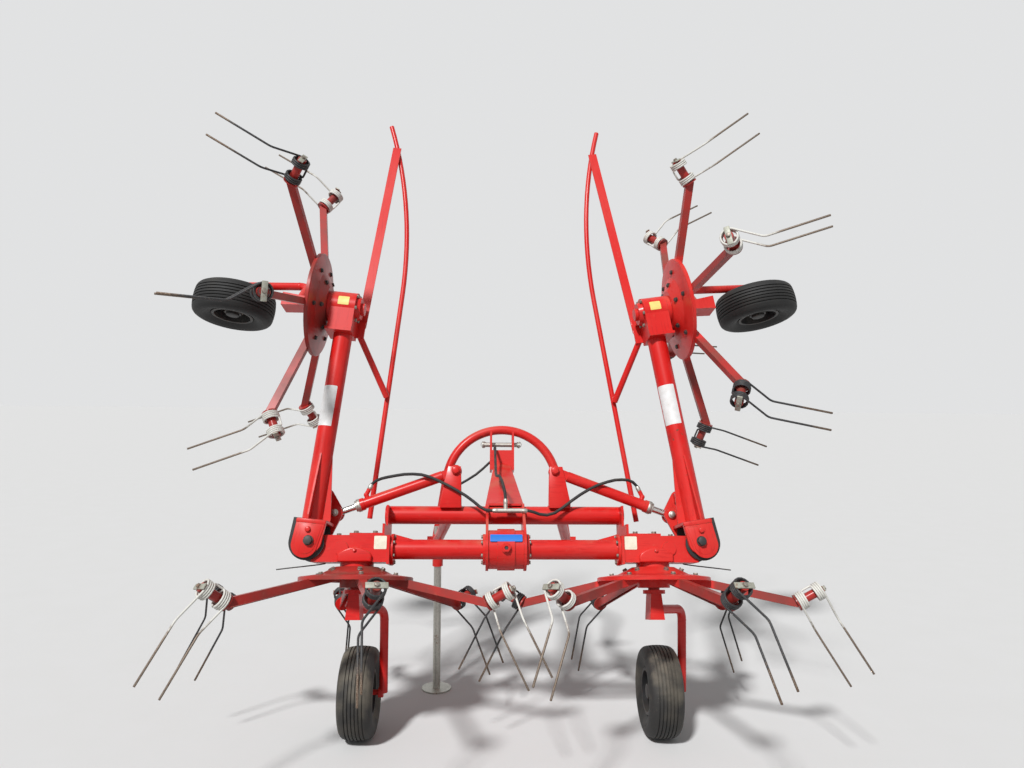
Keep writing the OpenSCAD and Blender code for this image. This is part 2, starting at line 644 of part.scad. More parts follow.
// Folded channel, open below, from under the disc to the plate at a coil pair's inner end
module bar_run(in_end) {
    from = [-90, 3];
    v = in_end - from;
    inner = bar_t / 2 - bar_wall;
    translate([0, from.x, from.y]) rotate([atan2(v.y, v.x) + 180, 0, 0]) difference() {
        span([-bar_t / 2, -norm(v) - 6, -bar_h / 2], [bar_t / 2, 0, bar_h / 2]);
        span([-inner, -norm(v) - 7, -bar_h / 2 - 1], [inner, 1, bar_h / 2 - bar_wall]);
    }
}

module coil() rotate_extrude() {
    for (i = [0 : 3]) translate([(coil_d - wire_d) / 2, (i - 1.5) * wire_d])
        circle(d = wire_d + 0.4, $fn = 24);
    translate([(coil_d - wire_d) / 2 - 3, -1.5 * wire_d]) square([6, 3 * wire_d]);
}

module tines(phase, trail) for (k = [0 : arm_count - 1])
    rotate([0, 0, phase + 360 * k / arm_count]) translate([0, -coil_r, -coil_drop])
        rotate([-coil_rise, 0, 0])
        mirror([trail > 0 ? 0 : 1, 0, 0]) for (y = [-coil_half, coil_half]) translate([0, y, 0]) {
            r = (coil_d - wire_d) / 2;
            p0 = [-r * cos(tine_lean_1), 0, -r * sin(tine_lean_1)];
            p1 = p0 + tine_1 * [sin(tine_lean_1), 0, -cos(tine_lean_1)];
            p2 = p1 + tine_2 * [sin(tine_lean_2), 0, -cos(tine_lean_2)];
            rotate([90, 0, 0]) coil();
            bent_bar([p0, p1, p2], wire_d);
        }

module tyre() rotate([0, 90, 0]) rotate_extrude() difference() {
    union() {
        translate([rim_d / 2, -tyre_w / 2 + 22]) square([(tyre_d - rim_d) / 2 - 22, tyre_w - 44]);
        translate([wheel_r - 44, -tyre_w / 2 + 30]) square([44, tyre_w - 60]);
        for (m = [-1, 1]) {
            translate([(rim_d / 2 + wheel_r) / 2 - 2, m * (tyre_w / 2 - 40)]) circle(40);
            translate([wheel_r - 30, m * (tyre_w / 2 - 36)]) circle(30);
        }
    }
    translate([0, -tyre_w]) square([rim_d / 2, 2 * tyre_w]);
    translate([rim_d / 2 - 1, -tyre_w / 2 + 40]) square([wheel_r - rim_d / 2 - 17, tyre_w - 80]);
    for (m = [-1, 1]) translate([(rim_d / 2 + wheel_r) / 2 - 2, m * (tyre_w / 2 - 40)]) circle(28);
    for (z = [-36 : 18 : 36]) translate([wheel_r - 8, z - 3]) square([20, 6]);
}

module rim() color(black) rotate([0, 90, 0]) rotate_extrude() {
    difference() {
        translate([rim_d / 2 - 14, -62]) square([14 - fit, 124]);
        translate([rim_d / 2 - 7, -44]) square([14, 88]);
    }
    translate([40, -14]) square([rim_d / 2 - 50, 8]);
    translate([axle_d / 2 + fit, -46]) square([30, 92]);
}

module wheel_place(s, outer) {
    dx = outer ? wheel_dx_outer : (s < 0 ? wheel_dx_left : wheel_dx_right);
    ahead = outer ? wheel_f_outer : wheel_f_inner;
    drop = outer ? wheel_drop_outer : wheel_drop_inner;
    at_rotor(s, outer) translate([dx, ahead, -drop]) children();
}

module rod(s) color(steel) on_cylinder(s) {
    along_x(cyl_length(s) - rod_l, cyl_length(s) - 12, rod_d);
    translate([cyl_length(s), 0, 0]) along_y(-eye_half, eye_half, 56);
}

module stand() color(steel) at_stand(0) {
    cylinder(d = foot_d, h = 8);
    cylinder(d = stand_d, h = stand_h);
}

centre_gearbox();
input_shaft();
side_plates();
beam(-1);  // beam_left
beam(1);  // beam_right
cross_tube();
seat_plate(-1);  // seat_plate_left
seat_plate(1);  // seat_plate_right
housing(-1);  // housing_left
housing(1);  // housing_right
wheel_leg(-1);  // wheel_leg_left
wheel_leg(1);  // wheel_leg_right
tower_strut();
headstock_arch();
top_bracket();
top_pin();
hitch_strut(-1);  // hitch_strut_left
hitch_strut(1);  // hitch_strut_right
lower_pins();
cylinder_bracket(-1);  // cylinder_bracket_left
cylinder_bracket(1);  // cylinder_bracket_right
cylinder_barrel(-1);  // cylinder_left
cylinder_barrel(1);  // cylinder_right
hose_tee();
hose_left();
hose_right();
hose_supply();
hose_coupler();
arm(-1);  // arm_left
arm(1);  // arm_right
outer_gearbox(-1);  // outer_gearbox_left
outer_gearbox(1);  // outer_gearbox_right
guard_rod(-1);  // guard_rod_left
guard_rod(1);  // guard_rod_right
guard_struts(-1);  // guard_struts_left
guard_struts(1);  // guard_struts_right
outer_leg(-1);  // outer_leg_left
outer_leg(1);  // outer_leg_right
color(paint) at_rotor(-1, false) rotor(-phase_inner);  // rotor_inner_left
color(paint) at_rotor(1, false) rotor(phase_inner);  // rotor_inner_right
color(paint) at_rotor(-1, true) rotor(phase_outer(-1));  // rotor_outer_left
color(paint) at_rotor(1, true) rotor(phase_outer(1));  // rotor_outer_right
color(black) at_rotor(-1, false) tines(-phase_inner, 1);  // tines_inner_left
color(black) at_rotor(1, false) tines(phase_inner, 1);  // tines_inner_right
color(black) at_rotor(-1, true) tines(phase_outer(-1), -1);  // tines_outer_left
color(black) at_rotor(1, true) tines(phase_outer(1), -1);  // tines_outer_right
color(black) wheel_place(-1, false) tyre();  // tyre_inner_left
color(black) wheel_place(1, false) tyre();  // tyre_inner_right
color(black) wheel_place(-1, true) tyre();  // tyre_outer_left
color(black) wheel_place(1, true) tyre();  // tyre_outer_right
wheel_place(-1, false) rim();  // rim_inner_left
wheel_place(1, false) rim();  // rim_inner_right
wheel_place(-1, true) rim();  // rim_outer_left
wheel_place(1, true) rim();  // rim_outer_right
rod(-1);  // rod_left
rod(1);  // rod_right
stand();
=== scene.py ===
import json
import math

import bmesh
import bpy
from mathutils import Matrix, Vector


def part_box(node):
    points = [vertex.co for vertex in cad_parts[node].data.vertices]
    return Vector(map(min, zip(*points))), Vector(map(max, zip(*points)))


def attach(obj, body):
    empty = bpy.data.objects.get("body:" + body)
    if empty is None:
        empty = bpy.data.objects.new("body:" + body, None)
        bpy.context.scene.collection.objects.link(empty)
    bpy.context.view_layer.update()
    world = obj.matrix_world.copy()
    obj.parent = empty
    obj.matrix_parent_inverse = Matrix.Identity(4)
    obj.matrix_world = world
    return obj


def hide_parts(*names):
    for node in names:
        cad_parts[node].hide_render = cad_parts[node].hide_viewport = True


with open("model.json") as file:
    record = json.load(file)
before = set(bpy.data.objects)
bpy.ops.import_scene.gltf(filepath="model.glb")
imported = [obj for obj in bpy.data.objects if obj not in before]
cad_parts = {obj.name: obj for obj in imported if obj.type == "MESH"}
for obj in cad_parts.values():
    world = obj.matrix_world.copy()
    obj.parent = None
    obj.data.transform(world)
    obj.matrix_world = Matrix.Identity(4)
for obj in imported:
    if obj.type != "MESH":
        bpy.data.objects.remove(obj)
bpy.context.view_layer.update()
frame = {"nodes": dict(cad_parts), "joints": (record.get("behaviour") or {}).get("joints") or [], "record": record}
nodes = frame["nodes"]
joints = {joint["name"]: joint for joint in frame["joints"]}

# The places below come from the joints: the frame leans, and each arm and rotor has its own axes
sides = {"left": -1, "right": 1}
everyRotor = [(row, side) for row in ("inner", "outer") for side in sides]


def turnedBy(degrees, axis="X"):
    return Matrix.Rotation(math.radians(degrees), 4, axis)


# A scale of -1 mirrors
def acrossBy(scale):
    return Matrix.Scale(scale, 4, (1, 0, 0))


def placeFrom(origin, across, ahead, up):
    basis = Matrix((across, ahead, up)).transposed().to_4x4()
    return Matrix.Translation(origin) @ basis


def jointPoint(name):
    return Vector(joints[name]["pos_m"])


def jointAxis(name):
    return Vector(joints[name]["axis"]).normalized()


frameUp = jointAxis("spin_inner_right")
frameAhead = Vector((0, frameUp.z, -frameUp.y))
frameOrigin = (jointPoint("spin_inner_left") + jointPoint("spin_inner_right")) / 2
leanPlace = placeFrom(frameOrigin, Vector((1, 0, 0)), frameAhead, frameUp)


# Across is outward on both sides, so the left side's places are mirrored
def framePlace(side):
    return leanPlace @ acrossBy(sides[side])


def armPlace(side):
    hinge = jointPoint("fold_" + side)
    up = jointAxis("spin_outer_" + side)
    reach = jointPoint("spin_outer_" + side) - hinge
    across = (reach - up * reach.dot(up)).normalized()
    return placeFrom(hinge, across, frameAhead, up)


def rotorPlace(side, row):
    up = jointAxis(f"spin_{row}_{side}")
    basis = framePlace(side) if row == "inner" else armPlace(side)
    across = basis.to_3x3().col[0].normalized()
    return placeFrom(jointPoint(f"spin_{row}_{side}"), across, frameAhead, up)


def wheelPlace(side, row):
    basis = rotorPlace(side, row)
    return Matrix.Translation(jointPoint(f"roll_{row}_{side}")) @ basis.to_3x3().to_4x4()


# Camera, at the place and angle of the photograph
cameraView = {
    "place": (-0.0646, -3.5092, 1.6084),
    "yaw": -1.97,
    "pitch": 0.46,
    "roll": -0.52,
    "lens": 27.08,
    "sensor": 36.0,
}


def makeCamera():
    data = bpy.data.cameras.new("camera")
    data.lens = cameraView["lens"]
    data.sensor_width = cameraView["sensor"]
    camera = bpy.data.objects.new("camera", data)
    bpy.context.scene.collection.objects.link(camera)
    turn = turnedBy(cameraView["yaw"], "Z") @ turnedBy(cameraView["pitch"]) @ turnedBy(cameraView["roll"], "Y")
    camera.matrix_world = Matrix.Translation(cameraView["place"]) @ turn @ turnedBy(90)
    bpy.context.scene.camera = camera


makeCamera()
print("camera placed")


# Shader maths: a wrapped socket takes part in plain expressions
class Signal:
    def __init__(self, tree, socket=None):
        self.tree = tree
        self.socket = socket

    def node(self, kind, settings=None, inputs=None, output=0):
        made = self.tree.nodes.new(kind)
        for name, value in (settings or {}).items():
            setattr(made, name, value)
        for name, value in (inputs or {}).items():
            if isinstance(value, Signal):
                self.tree.links.new(value.socket, made.inputs[name])
            else:
                made.inputs[name].default_value = value
        return Signal(self.tree, made.outputs[output] if len(made.outputs) else None)

    def maths(self, operation, *values):
        return self.node("ShaderNodeMath", {"operation": operation}, dict(enumerate(values)))

    def __add__(self, other):
        return self.maths("ADD", self, other)

    def __sub__(self, other):
        return self.maths("SUBTRACT", self, other)

    def __rsub__(self, other):
        return self.maths("SUBTRACT", other, self)

    def __mul__(self, other):
        return self.maths("MULTIPLY", self, other)

    __radd__ = __add__
    __rmul__ = __mul__

    def __pow__(self, other):
        return self.maths("POWER", self, other)

    def atMost(self, limit):
        return self.maths("MINIMUM", self, limit)

    def noise(self, scale, detail=3.0, stretch=None):
        coords = self.scaled(stretch) if stretch else self
        return self.node("ShaderNodeTexNoise", {}, {"Vector": coords, "Scale": scale, "Detail": detail})

    def scaled(self, factors):
        return self.node("ShaderNodeMapping", {}, {"Vector": self, "Scale": factors})

    def placed(self, place):
        inverse = place.inverted()
        return self.node(
            "ShaderNodeMapping",
            {},
            {"Vector": self, "Location": inverse.translation, "Rotation": inverse.to_euler()},
        )

    def split(self, axis):
        return self.node("ShaderNodeSeparateXYZ", {}, {"Vector": self}, "XYZ".index(axis))

    def step(self, low, high):
        return self.node(
            "ShaderNodeMapRange",
            {"interpolation_type": "SMOOTHSTEP"},
            {"Value": self, "From Min": low, "From Max": high},
        )

    def blend(self, first, second):
        return self.node("ShaderNodeMix", {"data_type": "RGBA"}, {0: self, 6: first, 7: second}, 2)

    def bump(self, strength, distance):
        return self.node("ShaderNodeBump", {}, {"Height": self, "Strength": strength, "Distance": distance})


def colour(red, green, blue):
    return (red, green, blue, 1.0)


def newMaterial(name):
    material = bpy.data.materials.new(name)
    material.use_nodes = True
    material.node_tree.nodes.clear()
    start = Signal(material.node_tree)
    return material, start.node("ShaderNodeTexCoord", {}, {}, "Object")


def surface(coords, base, rough, more):
    shader = coords.node("ShaderNodeBsdfPrincipled", {}, {"Base Color": base, "Roughness": rough, **more})
    coords.node("ShaderNodeOutputMaterial", {}, {"Surface": shader})


def surfaceNormal(coords):
    return coords.node("ShaderNodeNewGeometry", {}, {}, "Normal")


# 1 along the edges of the shape, where paint wears, and 0 away from them
def edgeWear(coords, radius):
    softened = coords.node("ShaderNodeBevel", {"samples": 4}, {"Radius": radius})
    true = surfaceNormal(coords)
    facing = coords.node("ShaderNodeVectorMath", {"operation": "DOT_PRODUCT"}, {0: softened, 1: true}, "Value")
    return (1 - facing).step(0.02, 0.22)


redPaint = {
    "bright": colour(0.640, 0.011, 0.009),
    "faded": colour(0.660, 0.032, 0.026),
    "deep": colour(0.440, 0.005, 0.005),
    "primer": colour(0.190, 0.060, 0.038),
    "rust": colour(0.150, 0.052, 0.020),
    "worn": colour(0.205, 0.038, 0.031),
    "dust": colour(0.430, 0.330, 0.215),
    "underShade": colour(0.035, 0.024, 0.020),
    "edge": 0.004,
}


# Farther than wornFrom from the place's Z axis, hay has rubbed the paint dull
def makeRedPaint(name, place, dustShare=0.24, wornFrom=None):
    material, coords = newMaterial(name)
    local = coords.placed(place)
    broad = local.noise(2.6, 4.0)
    patch = local.noise(9.0, 5.0)
    fine = local.noise(55.0, 4.0)
    grain = local.noise(420.0, 2.0)
    streak = local.noise(14.0, 5.0, (1.0, 1.0, 9.0))
    edge = edgeWear(coords, redPaint["edge"])
    facing = surfaceNormal(coords).split("Z")
    base = broad.step(0.36, 0.66).blend(redPaint["bright"], redPaint["faded"])
    base = (streak.step(0.52, 0.72) * 0.45).blend(base, redPaint["deep"])
    if wornFrom:
        radius = (local.split("X") ** 2 + local.split("Y") ** 2) ** 0.5
        worn = radius.step(wornFrom, wornFrom + 0.02) * (0.50 + 0.45 * patch.step(0.3, 0.7))
        base = worn.blend(base, redPaint["worn"])
    dusty = (facing.step(0.35, 0.95) * patch.step(0.42, 0.70)) * dustShare + fine.step(0.60, 0.78) * 0.08
    base = dusty.blend(base, redPaint["dust"])
    chip = (edge * fine.step(0.46, 0.60) + patch.step(0.60, 0.70) * fine.step(0.655, 0.675)).atMost(1.0)
    bare = grain.step(0.45, 0.60).blend(redPaint["primer"], redPaint["rust"])
    base = chip.blend(base, bare)
    # Painted shade: side and downward faces darkened in patches towards near black, as if they stood in shade
    underShade = (patch.step(0.66, 0.80) * (1 - facing.step(-0.2, 0.6))) * 0.35
    base = underShade.blend(base, redPaint["underShade"])
    rough = 0.30 + 0.20 * patch + 0.35 * dusty + 0.32 * chip
    coat = (1 - chip) * (0.16 - 0.12 * dusty)
    relief = (fine * 0.25 + grain * 0.12 - chip * 0.9).bump(0.35, 0.0012)
    gloss = {"Coat Weight": coat, "Coat Roughness": 0.18, "Specular IOR Level": 0.24}
    surface(coords, base, rough, {**gloss, "Normal": relief})
    return material


steelLooks = {
    "zinc": {"light": colour(0.56, 0.55, 0.50), "dark": colour(0.30, 0.29, 0.26), "metal": 0.85, "rough": 0.38},
    "chrome": {"light": colour(0.72, 0.72, 0.70), "dark": colour(0.46, 0.45, 0.42), "metal": 1.0, "rough": 0.16},
    "bolt": {"light": colour(0.40, 0.38, 0.34), "dark": colour(0.16, 0.12, 0.09), "metal": 0.75, "rough": 0.42},
    "strap": {"light": colour(0.47, 0.48, 0.42), "dark": colour(0.29, 0.28, 0.22), "metal": 0.35, "rough": 0.48},
}


def makeSteel(name, look):
    material, coords = newMaterial(name)
    broad = coords.noise(14.0, 4.0)
    fine = coords.noise(120.0, 4.0)
    spangle = coords.node("ShaderNodeTexVoronoi", {}, {"Vector": coords, "Scale": 160.0}, "Color").split("X")
    rusty = (broad.step(0.56, 0.72) * fine.step(0.42, 0.62)) * 0.7
    base = (0.6 * broad + 0.4 * spangle).blend(look["dark"], look["light"])
    base = rusty.blend(base, colour(0.20, 0.085, 0.035))
    rough = look["rough"] + 0.18 * fine + 0.30 * rusty
    relief = (fine * 0.5 + rusty).bump(0.25, 0.0006)
    surface(coords, base, rough, {"Metallic": look["metal"] * (1 - rusty), "Normal": relief})
    return material


wireLooks = {
    "black": {"fresh": colour(0.022, 0.022, 0.024), "wear": 0.30},
    "white": {"fresh": colour(0.70, 0.69, 0.64), "wear": 0.17},
}


# Painted spring wire, worn to brown steel towards its tip, which lies below the coil in the rotor's own frame
def makeWire(name, look, place):
    material, coords = newMaterial(name)
    local = coords.placed(place)
    depth = -1.0 * local.split("Z")
    ragged = depth + 0.10 * local.noise(60.0, 4.0)
    fine = local.noise(230.0, 4.0)
    worn = ragged.step(look["wear"] + 0.05, look["wear"] + 0.11)
    flaked = fine.step(0.60, 0.66)
    bare = fine.step(0.35, 0.70).blend(colour(0.105, 0.060, 0.036), colour(0.24, 0.19, 0.145))
    gone = (worn * 0.92 + flaked * 0.55).atMost(1.0)
    base = gone.blend(look["fresh"], bare)
    relief = (fine - 0.6 * gone).bump(0.35, 0.0006)
    surface(coords, base, 0.42 + 0.25 * fine, {"Metallic": gone * 0.55, "Normal": relief})
    return material


def makeRubber(name, tone, dustShare, scale):
    material, coords = newMaterial(name)
    broad = coords.noise(scale, 5.0)
    fine = coords.noise(scale * 22, 4.0)
    facing = surfaceNormal(coords).split("Z")
    dust = (broad.step(0.40, 0.68) * (0.5 + 0.5 * facing)) * dustShare + fine.step(0.60, 0.75) * dustShare * 0.4
    base = dust.blend(tone, colour(0.235, 0.205, 0.155))
    relief = (fine + 0.4 * broad).bump(0.30, 0.0009)
    surface(coords, base, 0.58 + 0.22 * fine + 0.12 * dust, {"Normal": relief})
    return material


def makeBlackPaint(name):
    material, coords = newMaterial(name)
    patch = coords.noise(11.0, 5.0)
    fine = coords.noise(90.0, 4.0)
    edge = edgeWear(coords, 0.003)
    chip = edge * fine.step(0.44, 0.58) + fine.step(0.70, 0.72) * 0.6
    base = patch.step(0.35, 0.75).blend(colour(0.020, 0.020, 0.022), colour(0.060, 0.055, 0.048))
    base = chip.blend(base, colour(0.155, 0.085, 0.045))
    relief = (fine * 0.4 - chip).bump(0.3, 0.0008)
    surface(coords, base, 0.42 + 0.25 * patch + 0.2 * chip, {"Normal": relief})
    return material


# A plain sticker: a flat colour, aged in patches and scuffed
def makeSticker(name, tone, aged):
    material, coords = newMaterial(name)
    patch = coords.noise(38.0, 5.0)
    fine = coords.noise(300.0, 3.0)
    scuff = fine.step(0.62, 0.70) * 0.35
    base = (patch.step(0.30, 0.75) * 0.45).blend(tone, aged)
    base = scuff.blend(base, colour(0.30, 0.16, 0.12))
    surface(coords, base, 0.36 + 0.3 * patch, {"Normal": (fine + patch).bump(0.15, 0.0004)})
    return material


boltSteel = makeSteel("boltSteel", steelLooks["bolt"])
zincSteel = makeSteel("zincSteel", steelLooks["zinc"])
chromeSteel = makeSteel("chromeSteel", steelLooks["chrome"])
strapSteel = makeSteel("strapSteel", steelLooks["strap"])
blackPaint = makeBlackPaint("blackPaint")
bootRubber = makeRubber("bootRubber", colour(0.011, 0.011, 0.012), 0.10, 11.0)
# The inner tyres are dusty rubber. The outer ones are darker, with little dust: painted shade
tyreRubber = {
    "inner": makeRubber("tyreRubber.inner", colour(0.019, 0.018, 0.017), 0.66, 8.0),
    "outer": makeRubber("tyreRubberInShade.outer", colour(0.007, 0.007, 0.007), 0.07, 8.0),
}
hoseRubber = makeRubber("hoseRubber", colour(0.014, 0.014, 0.015), 0.16, 16.0)
framePaint = makeRedPaint("framePaint", leanPlace)
armPaint = {side: makeRedPaint(f"armPaint.{side}", rotorPlace(side, "outer")) for side in sides}
rotorDust = 0.10
rotorWornFrom = 0.245
rotorPaint = {
    (row, side): makeRedPaint(f"rotorPaint.{row}.{side}", rotorPlace(side, row), rotorDust, rotorWornFrom)
    for row, side in everyRotor
}
print("materials made")


# Every CAD node gets its finish by its slot, and by the body that carries it
def finishNodes():
    slotOf = {part["node"]: part["material_slot"] for part in frame["record"]["subparts"]}
    plain = {
        "black_paint": blackPaint,
        "bright_steel": zincSteel,
        "zinc_steel": zincSteel,
        "tine_steel": blackPaint,
        "hose_rubber": hoseRubber,
        "tyre_rubber": tyreRubber["inner"],
    }
    for name, node in nodes.items():
        words = name.split("_")
        side = words[-1]
        material = plain.get(slotOf[name], framePaint)
        if words[0] == "rotor":
            row = words[1]
            material = rotorPaint[row, side]
        elif words[0] in ("arm", "guard", "outer"):
            material = armPaint[side]
        elif words[0] == "rim":
            material = blackPaint
        elif words[0] == "rod":
            material = chromeSteel
        elif name == "top_bracket":
            material = framePaint
        node.data.materials.clear()
        node.data.materials.append(material)


finishNodes()


# Modelling moves that the pieces share: each piece starts as a primitive and is shaped in edit mode
def begin(add, **settings):
    bpy.ops.object.select_all(action="DESELECT")
    add(**settings)
    piece = bpy.context.object
    bpy.ops.object.mode_set(mode="EDIT")
    return piece


def done(piece):
    bpy.ops.object.mode_set(mode="OBJECT")
    return piece


def chooseAll(kind):
    bpy.ops.mesh.select_mode(type=kind)
    bpy.ops.mesh.select_all(action="SELECT")


def choose(piece, kind, test):
    bpy.ops.mesh.select_mode(type=kind)
    bpy.ops.mesh.select_all(action="DESELECT")
    mesh = bmesh.from_edit_mesh(piece.data)
    for item in {"VERT": mesh.verts, "EDGE": mesh.edges, "FACE": mesh.faces}[kind]:
        if test(item):
            item.select_set(True)
    mesh.select_flush_mode()
    bmesh.update_edit_mesh(piece.data)


def sharp(edge):
    return edge.calc_face_angle(0) > 0.6


def bevelEdges(piece, width, segments, test=sharp):
    choose(piece, "EDGE", test)
    bpy.ops.mesh.bevel(offset=width, segments=segments, affect="EDGES")


def weld():
    bpy.ops.mesh.select_all(action="SELECT")
    bpy.ops.mesh.remove_doubles(threshold=0.00001)


def outward():
    weld()
    bpy.ops.mesh.normals_make_consistent(inside=False)


# Blender's spin is left-handed, so its angle is turned round: here a positive one is right-handed about the axis
def swing(steps, degrees, centre, axis):
    bpy.ops.mesh.spin(steps=steps, angle=-math.radians(degrees), center=centre, axis=axis)


def extend(run):
    bpy.ops.mesh.extrude_region_move(TRANSFORM_OT_translate={"value": run})


# One point, extruded on to each next one, with the last one selected at the end
def drawn(points):
    piece = begin(bpy.ops.mesh.primitive_plane_add, size=0.001)
    chooseAll("VERT")
    bpy.ops.mesh.merge(type="CENTER")
    bpy.ops.transform.translate(value=points[0])
    for before, after in zip(points, points[1:]):
        bpy.ops.mesh.extrude_vertices_move(TRANSFORM_OT_translate={"value": after - before})
    return piece


# A closed outline across X and Z becomes a plate or block that stands along Y
def raisePlate(piece, thick, edge, segments=2, test=sharp):
    weld()
    bpy.ops.mesh.edge_face_add()
    extend((0, thick, 0))
    outward()
    bevelEdges(piece, edge, segments, test)
    return done(piece)


def slab(outline, rear, thick, edge, segments=2, test=sharp):
    piece = drawn([Vector((across, rear, up)) for across, up in outline])
    return raisePlate(piece, thick, edge, segments, test)


# A profile drawn point by point, then spun all round an axis through the origin
def turned(profile, axis, steps):
    points = [Vector((along, 0, radius)) if axis == "X" else Vector((radius, 0, along)) for along, radius in profile]
    piece = drawn(points)
    bpy.ops.mesh.select_all(action="SELECT")
    swing(steps, 360, (0, 0, 0), (1, 0, 0) if axis == "X" else (0, 0, 1))
    outward()
    return done(piece)


def box(low, high, edge):
    size = [b - a for a, b in zip(low, high)]
    middle = [(a + b) / 2 for a, b in zip(low, high)]
    piece = begin(bpy.ops.mesh.primitive_cube_add, size=1, location=middle)
    bpy.ops.transform.resize(value=size)
    bevelEdges(piece, edge, 2)
    return done(piece)


def paint(piece, *finishes):
    piece.data.materials.clear()
    for finish in finishes:
        piece.data.materials.append(finish)
    return piece


def together(pieces):
    bpy.ops.object.select_all(action="DESELECT")
    for piece in pieces:
        piece.data.transform(piece.matrix_world)
        piece.matrix_world = Matrix.Identity(4)
        piece.select_set(True)
    bpy.context.view_layer.objects.active = pieces[0]
    if len(pieces) > 1:
        bpy.ops.object.join()
    return pieces[0]


def copyOf(model):
    part = model.copy()
    part.data = model.data.copy()
    bpy.context.scene.collection.objects.link(part)
    return part


# Copies of a model at each place, joined into one object: the model itself goes
def spread(model, places):
    model.data.transform(model.matrix_world)
    copies = []
    for place in places:
        part = copyOf(model)
        part.matrix_world = Matrix.Identity(4)
        part.data.transform(place)
        if place.determinant() < 0:
            part.data.flip_normals()
        copies.append(part)
    bpy.data.objects.remove(model)
    return together(copies)


def settle(piece, name, body, smooth=35, replaced=()):
    bpy.ops.object.select_all(action="DESELECT")
    piece.select_set(True)
    bpy.context.view_layer.objects.active = piece
    bpy.ops.object.shade_smooth_by_angle(angle=math.radians(smooth))
    piece.name = name
    piece.data.name = name
    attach(piece, body)
    if replaced:
        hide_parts(*replaced)
    return piece


# A place whose Z runs along a direction
def standing(point, direction):
    return Matrix.Translation(point) @ Vector(direction).normalized().to_track_quat("Z", "Y").to_matrix().to_4x4()


# The directions of bolts in a ring, each as a cosine and a sine
def ringTurns(count, start):
    turns = [math.radians(start + 360 * index / count) for index in range(count)]
    return [(math.cos(turn), math.sin(turn)) for turn in turns]


# Hoses: each point is across, ahead and above in the leaning frame, in metres
hoses = {
    "left": {
        "route": [
            (-0.630, 0.117, 0.401), (-0.620, 0.117, 0.423), (-0.600, 0.113, 0.439), (-0.573, 0.104, 0.448),
            (-0.545, 0.094, 0.453), (-0.506, 0.086, 0.459), (-0.467, 0.080, 0.464), (-0.428, 0.077, 0.465),
            (-0.389, 0.075, 0.462), (-0.349, 0.074, 0.451), (-0.309, 0.074, 0.434), (-0.266, 0.074, 0.413),
            (-0.224, 0.073, 0.390), (-0.184, 0.070, 0.366), (-0.147, 0.066, 0.339), (-0.118, 0.062, 0.314),
            (-0.092, 0.059, 0.300), (-0.064, 0.058, 0.296), (-0.036, 0.058, 0.296),
        ],
        "farEnd": "object",
    },
    "right": {
        "route": [
            (0.076, 0.058, 0.296), (0.104, 0.058, 0.296), (0.130, 0.060, 0.290), (0.156, 0.064, 0.281),
            (0.190, 0.069, 0.278), (0.226, 0.072, 0.288), (0.264, 0.074, 0.313), (0.306, 0.074, 0.345),
            (0.348, 0.074, 0.374), (0.392, 0.075, 0.400), (0.434, 0.077, 0.420), (0.477, 0.080, 0.434),
            (0.512, 0.085, 0.443), (0.545, 0.092, 0.446), (0.575, 0.102, 0.446), (0.600, 0.112, 0.438),
            (0.619, 0.117, 0.419), (0.629, 0.117, 0.397),
        ],
        "farEnd": "object",
    },
    "supply": {
        "route": [
            (0.000, 0.058, 0.326), (0.000, 0.058, 0.350), (-0.003, 0.062, 0.380), (-0.009, 0.078, 0.412),
            (-0.016, 0.104, 0.440), (-0.022, 0.138, 0.460), (-0.027, 0.176, 0.474), (-0.031, 0.218, 0.483),
            (-0.034, 0.262, 0.489), (-0.036, 0.306, 0.496), (-0.038, 0.350, 0.506), (-0.039, 0.394, 0.520),
            (-0.040, 0.436, 0.538), (-0.040, 0.476, 0.560), (-0.040, 0.516, 0.583), (-0.040, 0.556, 0.607),
            (-0.040, 0.596, 0.631), (-0.040, 0.636, 0.656), (-0.040, 0.674, 0.682), (-0.040, 0.710, 0.708),
            (-0.040, 0.746, 0.728), (-0.040, 0.784, 0.738), (-0.041, 0.824, 0.741), (-0.042, 0.862, 0.734),
            (-0.044, 0.896, 0.716), (-0.062, 0.914, 0.680), (-0.104, 0.916, 0.640), (-0.146, 0.916, 0.604),
            (-0.192, 0.916, 0.574), (-0.238, 0.916, 0.547), (-0.280, 0.917, 0.519), (-0.310, 0.920, 0.485),
            (-0.328, 0.926, 0.446), (-0.338, 0.935, 0.404), (-0.342, 0.946, 0.360), (-0.343, 0.958, 0.316),
            (-0.343, 0.970, 0.272), (-0.343, 0.982, 0.229),
        ],
        "farEnd": "connector",
    },
}
hoseSize = {"diameter": 0.014, "sides": 5}
# Profiles of turned pieces: each point is along the axis and out from it
ferrule = [(0, 0), (0, 0.0096), (0.0025, 0.0104), (0.0180, 0.0104), (0.0205, 0.0090), (0.0235, 0.0082), (0.0235, 0)]
coupler = [
    (0, 0), (0, 0.0108), (0.0030, 0.0116), (0.0270, 0.0116), (0.0285, 0.0140), (0.0350, 0.0140), (0.0360, 0.0126),
    (0.0520, 0.0126), (0.0530, 0.0140), (0.0600, 0.0140), (0.0615, 0.0126), (0.0620, 0.0090), (0.0730, 0.0086),
    (0.0740, 0),
]


